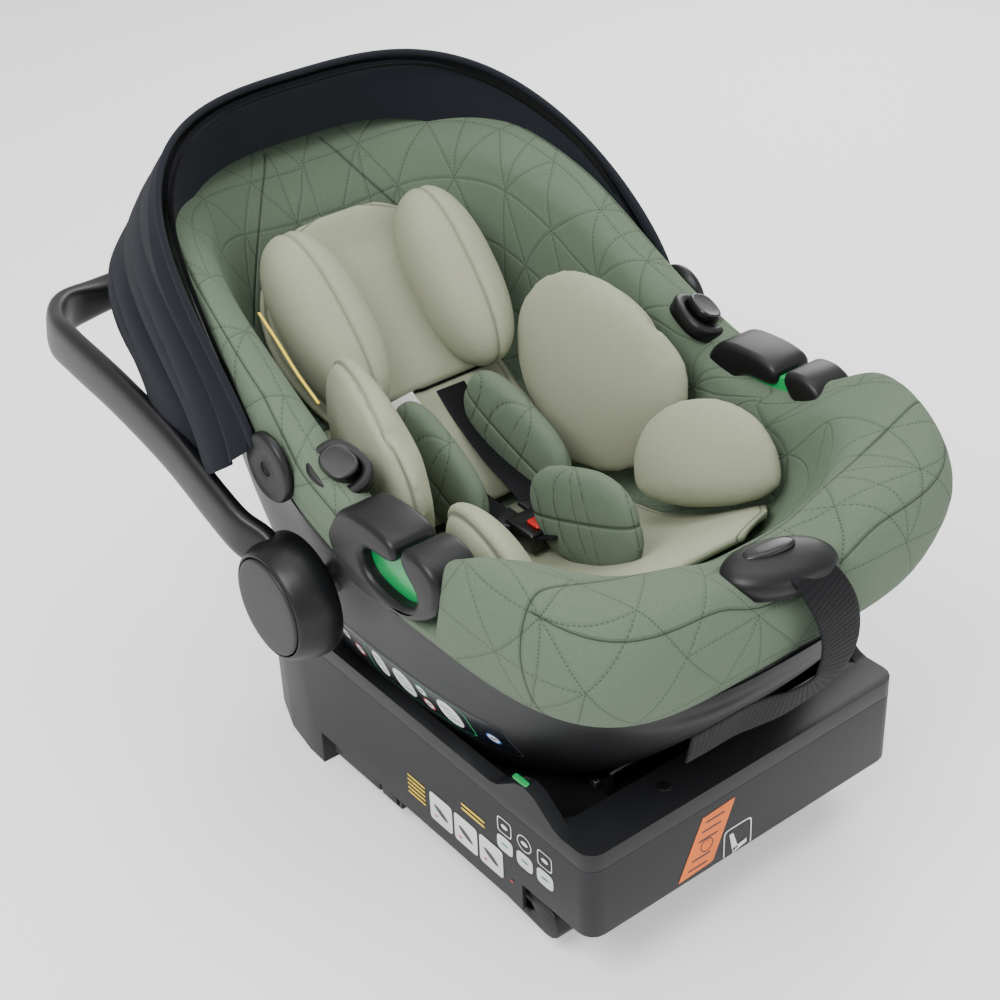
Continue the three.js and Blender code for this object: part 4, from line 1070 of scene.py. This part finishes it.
def build_fittings(cover_tree):
    for side, sign in SIDES:
        top = cover_tree.ray_cast(Vector(place([181 * sign, -22, 700])), DOWN)[0]
        spot = (top.x * 1000, top.y * 1000 - SHIFT_Y, top.z * 1000)
        normal = (0.30 * sign, -0.36, 0.88)
        along = (-0.2 * sign, -0.9, -0.35)
        boss(f"rim_bezel_{side}", spot, normal, along, (25, 20.5), BEZEL_PROFILE, "black_plastic", "carrier",
             replaced=(f"rim_button_bezel_{side}",))
        boss(f"rim_push_{side}", spot, normal, along, (15, 12), PUSH_PROFILE, "button_black",
             f"rim_release_{side}", replaced=(f"rim_button_{side}",))
        turned(f"canopy_disc_{side}", DISC_PROFILE, sign, "black_plastic", "canopy", centre=(31, 349),
               replaced=(f"canopy_stud_{side}",))
    boss("adjuster_dome", (-9, -300, 339), (-0.05, -0.12, 0.98), (0.94, -0.34, 0), (43, 25), DOME_PROFILE,
         "black_plastic", "carrier", power=2.2, replaced=("adjuster_bezel",))
    boss("adjuster_push", (-12, -292, 349), (-0.08, 0.12, 0.98), (0.94, -0.3, 0), (20, 8.5), LENS_PROFILE,
         "button_black", "harness_release", power=2.2, replaced=("adjuster_button",))
    boss("latch_plug", (-68, -251, 141.2), (0, 0, 1), (1, 0, 0), (5.5, 5.5), PLUG_PROFILE, "black_plastic",
         "base", power=2)
    boss("indicator_lens", (-159, -195, 163), (-0.3, 0, 0.95), (0, 1, 0), (8, 2.4), INDICATOR_PROFILE,
         "signal_green", "base", power=6)
    stripe = [(-149, 127, 421), (-150, 100, 405), (-151, 75, 389), (-151, 48, 374)]
    ribbon("side_stripe", smooth_path(stripe, 24), 2.2, 0.8, (1, 0, 0.2), "label_yellow", "carrier")
    care = [(-20, 112, 275), (-21, 124, 284), (-22, 134, 292)]
    ribbon("care_label", smooth_path(care, 12), 34, 0.6, (1, 0, 0), "label_white", "carrier")


def printed(name, outline, axis, tree, look, body, lift, inner=0.03):
    """A printed mark that follows a surface: an outline in mm, cast onto it from outside along an axis."""
    points = np.array(outline, float)
    edge = spaced(points, 64, closed=True)
    centre = points.mean(axis=0)
    aim = Vector((1, 0, 0)) if axis == "x" else Vector((0, 1, 0))
    rows = []
    for share in np.linspace(inner, 1.0, 3 if inner > 0.5 else 9):
        row = []
        for a, z in centre + (edge - centre) * share:
            start = (-0.4, (a + SHIFT_Y) / 1000, z / 1000) if axis == "x" else (a / 1000, -0.6, z / 1000)
            hit, normal, _, _ = tree.ray_cast(Vector(start), aim)
            if hit is None:
                return
            normal = normal if normal.dot(aim) < 0 else -normal
            row.append(tuple(hit + normal * lift / 1000))
        rows.append(row)
    loft(name, rows, look, body)


def oval(a, z, half_a, half_z, power=2.0, skew=0.0):
    """The outline of an oval or a rounded tile, in mm."""
    across, tall = oval_parts(40, power)
    return [(a + x, z + y + skew * x) for x, y in zip(across * half_a, tall * half_z)]


BAND_PICTURES = [(-22, 171, 8, 14), (-52, 169, 12, 14.5), (-106, 169, 12, 14.5)]
BAND_RINGS = [(-77, 177, "green"), (-78, 161, "red"), (10, 166, "red"), (26, 174, "grey"),
              (-148, 166, "blue"), (54, 176, "blue")]
SIDE_PANEL = [(-43, 73), (-134, 104), (-225, 121), (-241, 118), (-239, 48), (-44, 46)]


def build_band(shell_tree):
    """Shell side: a dark band with oval pictures, a green frame and small warning marks."""
    def mark(name, outline, colour, lift, inner=0.03):
        printed("band_" + name, outline, "x", shell_tree, "label_" + colour, "carrier", lift, inner)

    mark("label", oval(-50, 169, 118, 21, power=12), "black", 0.25)
    mark("frame", oval(-50, 169, 118, 21, power=12), "grey", 0.45, inner=0.985)
    mark("green", oval(-66, 169, 62, 18, power=9), "green", 0.45, inner=0.975)
    for number, (a, z, half_a, half_z) in enumerate(BAND_PICTURES):
        mark(f"oval_{number}", oval(a, z, half_a, half_z, power=2.4), "white", 0.45)
        for k in range(3):
            mark(f"oval_mark_{number}_{k}", oval(a - 2 + 2 * k, z - 6 + 6 * k, half_a * 0.55, 0.7),
                 "green" if k == 1 else "grey", 0.6)
    for number, (a, z, colour) in enumerate(BAND_RINGS):
        mark(f"ring_{number}", oval(a, z, 6.4, 6.4), colour, 0.4, inner=0.8)
        mark(f"dot_{number}", oval(a, z, 5, 5), "white", 0.4)
        mark(f"mark_{number}", oval(a, z, 3.4, 1.2), "ink", 0.6)
    for k in range(6):
        mark(f"line_{k}", oval(38, 182 - 2.6 * k, 13, 0.6, power=8), "grey", 0.4)


def build_side_labels(base_tree):
    """Base side: pictures in a row, small round ones above, and lines of yellow and grey."""
    def mark(name, outline, colour, lift, inner=0.03):
        printed("side_" + name, outline, "x", base_tree, "label_" + colour, "base", lift, inner)

    mark("panel", SIDE_PANEL, "grey", 0.2)
    for k in range(5):
        a = -93 - 32.4 * k
        mark(f"tile_{k}", oval(a, 63, 14.8, 14, power=10), "white", 0.4)
        mark(f"tile_mark_{k}", oval(a, 62, 9, 3, skew=0.4), "grey", 0.55)
        mark(f"tile_spot_{k}", oval(a + 7, 55, 2.2, 1.0), "red", 0.55)
    for k in range(3):
        a = -176 - 24 * k
        mark(f"small_{k}", oval(a, 87, 9.6, 7.4, power=4), "white", 0.4)
        mark(f"small_mark_{k}", oval(a, 87, 5, 1), "green", 0.55)
        mark(f"ring_{k}", oval(a, 105, 8.6, 7.6, power=2 if k == 1 else 6), "white", 0.4, inner=0.88)
        mark(f"icon_{k}", oval(a, 105, 4, 2), "white", 0.4)
    for k in range(5):
        mark(f"yellow_{k}", oval(-60, 74 - 4.4 * k, 12, 1.0, power=6), "yellow", 0.4)
    for k in range(2):
        mark(f"note_{k}", oval(-136, 92 - 4.6 * k, 15, 1.1, power=6), "yellow", 0.4)


def build_front_labels(base_tree):
    """Base front: an orange approval label and a framed picture, both without lettering."""
    def mark(name, outline, colour, lift, inner=0.03):
        printed("front_" + name, outline, "y", base_tree, "label_" + colour, "base", lift, inner)

    mark("orange", [(-51, 116), (-17, 118), (-39, 66), (-75, 64)], "orange", 0.3)
    for k in (0, 1, 2, 4, 5):
        mark(f"line_{k}", oval(-38 - 3.4 * k, 110 - 8 * k, 10, 0.8, power=6), "ink", 0.5)
    mark("circle", oval(-46, 87, 6.5, 6.5), "ink", 0.5, inner=0.86)
    mark("frame", oval(-13, 72, 15, 16, power=8), "white", 0.3, inner=0.92)
    mark("seat_back", [(-22, 82), (-18, 82), (-12, 64), (-18, 62)], "white", 0.3)
    mark("seat_base", [(-18, 66), (-3, 68), (-3, 64), (-18, 61)], "white", 0.3)


def build_connector_windows():
    for side, sign in SIDES:
        low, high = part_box(f"anchor_connector_{side}")
        outer = sign * max(abs(low.x), abs(high.x)) * 1000
        spot = (outer, (low.y + high.y) * 500 - SHIFT_Y - 12, (low.z + high.z) * 500 + 4)
        boss(f"connector_window_{side}", spot, (sign, 0, 0), (0, 1, 0), (2, 6), WINDOW_PROFILE,
             "signal_red", f"anchor_{side}", power=6)


# ---------- The rest of the moulded parts, and the assembly ----------
GUIDE_OUTLINE = [(-38, 320), (-44, 336), (-60, 354), (-90, 358), (-116, 355), (-123, 346), (-116, 337),
                 (-88, 334), (-80, 322), (-92, 309), (-122, 305), (-142, 313), (-146, 326), (-136, 337),
                 (-130, 347), (-134, 356), (-152, 358), (-168, 350), (-172, 334), (-165, 316), (-134, 297),
                 (-84, 291), (-52, 299)]
CHANNEL_OUTLINE = [(-120, 346), (-98, 338), (-78, 330), (-76, 316), (-92, 304), (-124, 300), (-146, 309),
                   (-150, 328), (-138, 342), (-130, 348)]
BEVELS = {"base_housing": 0.0035, "base_cover": 0.004, "anchor_arm_right": 0.003, "anchor_arm_left": 0.003,
          "anchor_connector_right": 0.003, "anchor_connector_left": 0.003, "support_leg_outer": 0.004,
          "adjuster_bezel": 0.0035, "adjuster_button": 0.002, "buckle": 0.003, "buckle_button": 0.003}
LEVER_OUTLINE = [(318, 397), (319, 398), (329, 398), (331, 396), (331, 372), (329, 370), (326, 370),
                 (325, 371), (325, 389), (324, 390), (319, 390), (318, 391)]
RAIL_OUTLINE = [(296, 364), (298, 362), (327, 362), (329, 364), (329, 402), (327, 404), (302, 404),
                (300, 402)]


def build_guides():
    for side, sign in SIDES:
        outline = GUIDE_OUTLINE if sign > 0 else GUIDE_OUTLINE[::-1]
        channel = CHANNEL_OUTLINE if sign > 0 else CHANNEL_OUTLINE[::-1]
        outline_piece(f"belt_hook_{side}", outline, 167 * sign, 208 * sign, "black_plastic", "carrier",
                      (f"belt_guide_{side}",), round_edge=0.0055)
        outline_piece(f"belt_slot_{side}", channel, 172 * sign, 197 * sign, "signal_green", "carrier",
                      (f"belt_channel_{side}",), round_edge=0.002)


def build_lever():
    """The pull grip at the back of the shell, between two short rails."""
    outline_piece("lever_grip", LEVER_OUTLINE, -34, 34, "black_plastic", "lever", ("release_lever",),
                  round_edge=0.0008, curve_steps=1)
    for side, sign in SIDES:
        outline = RAIL_OUTLINE if sign > 0 else RAIL_OUTLINE[::-1]
        outline_piece(f"lever_rail_{side}", outline, 34.5 * sign, 39 * sign, "shell_grey", "carrier",
                      round_edge=0.0012, curve_steps=1)


def finish_nodes():
    """Every CAD node that no piece stands for yet becomes a rounded copy in its record material."""
    slots = {part["node"]: part["material_slot"] for part in frame["record"]["subparts"]}
    taken = set()
    for piece in bpy.context.scene.objects:
        taken |= set(piece.get("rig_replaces", ()))
    for node, slot in slots.items():
        if node not in taken:
            refine(node, slot, BEVELS.get(node, 0.0008))


build_camera()
build_studio()
build_adjuster_strap()
shell = build_shell()
cover_tree = surface_tree(build_cover())
build_guides()
build_fittings(cover_tree)
build_handle()
build_lever()
build_pads()
build_inserts(cover_tree)
build_harness()
build_canopy()
finish_nodes()
build_band(surface_tree(shell))
base_tree = surface_tree(bpy.data.objects["base_housing_finish"])
build_side_labels(base_tree)
build_front_labels(base_tree)
build_connector_windows()
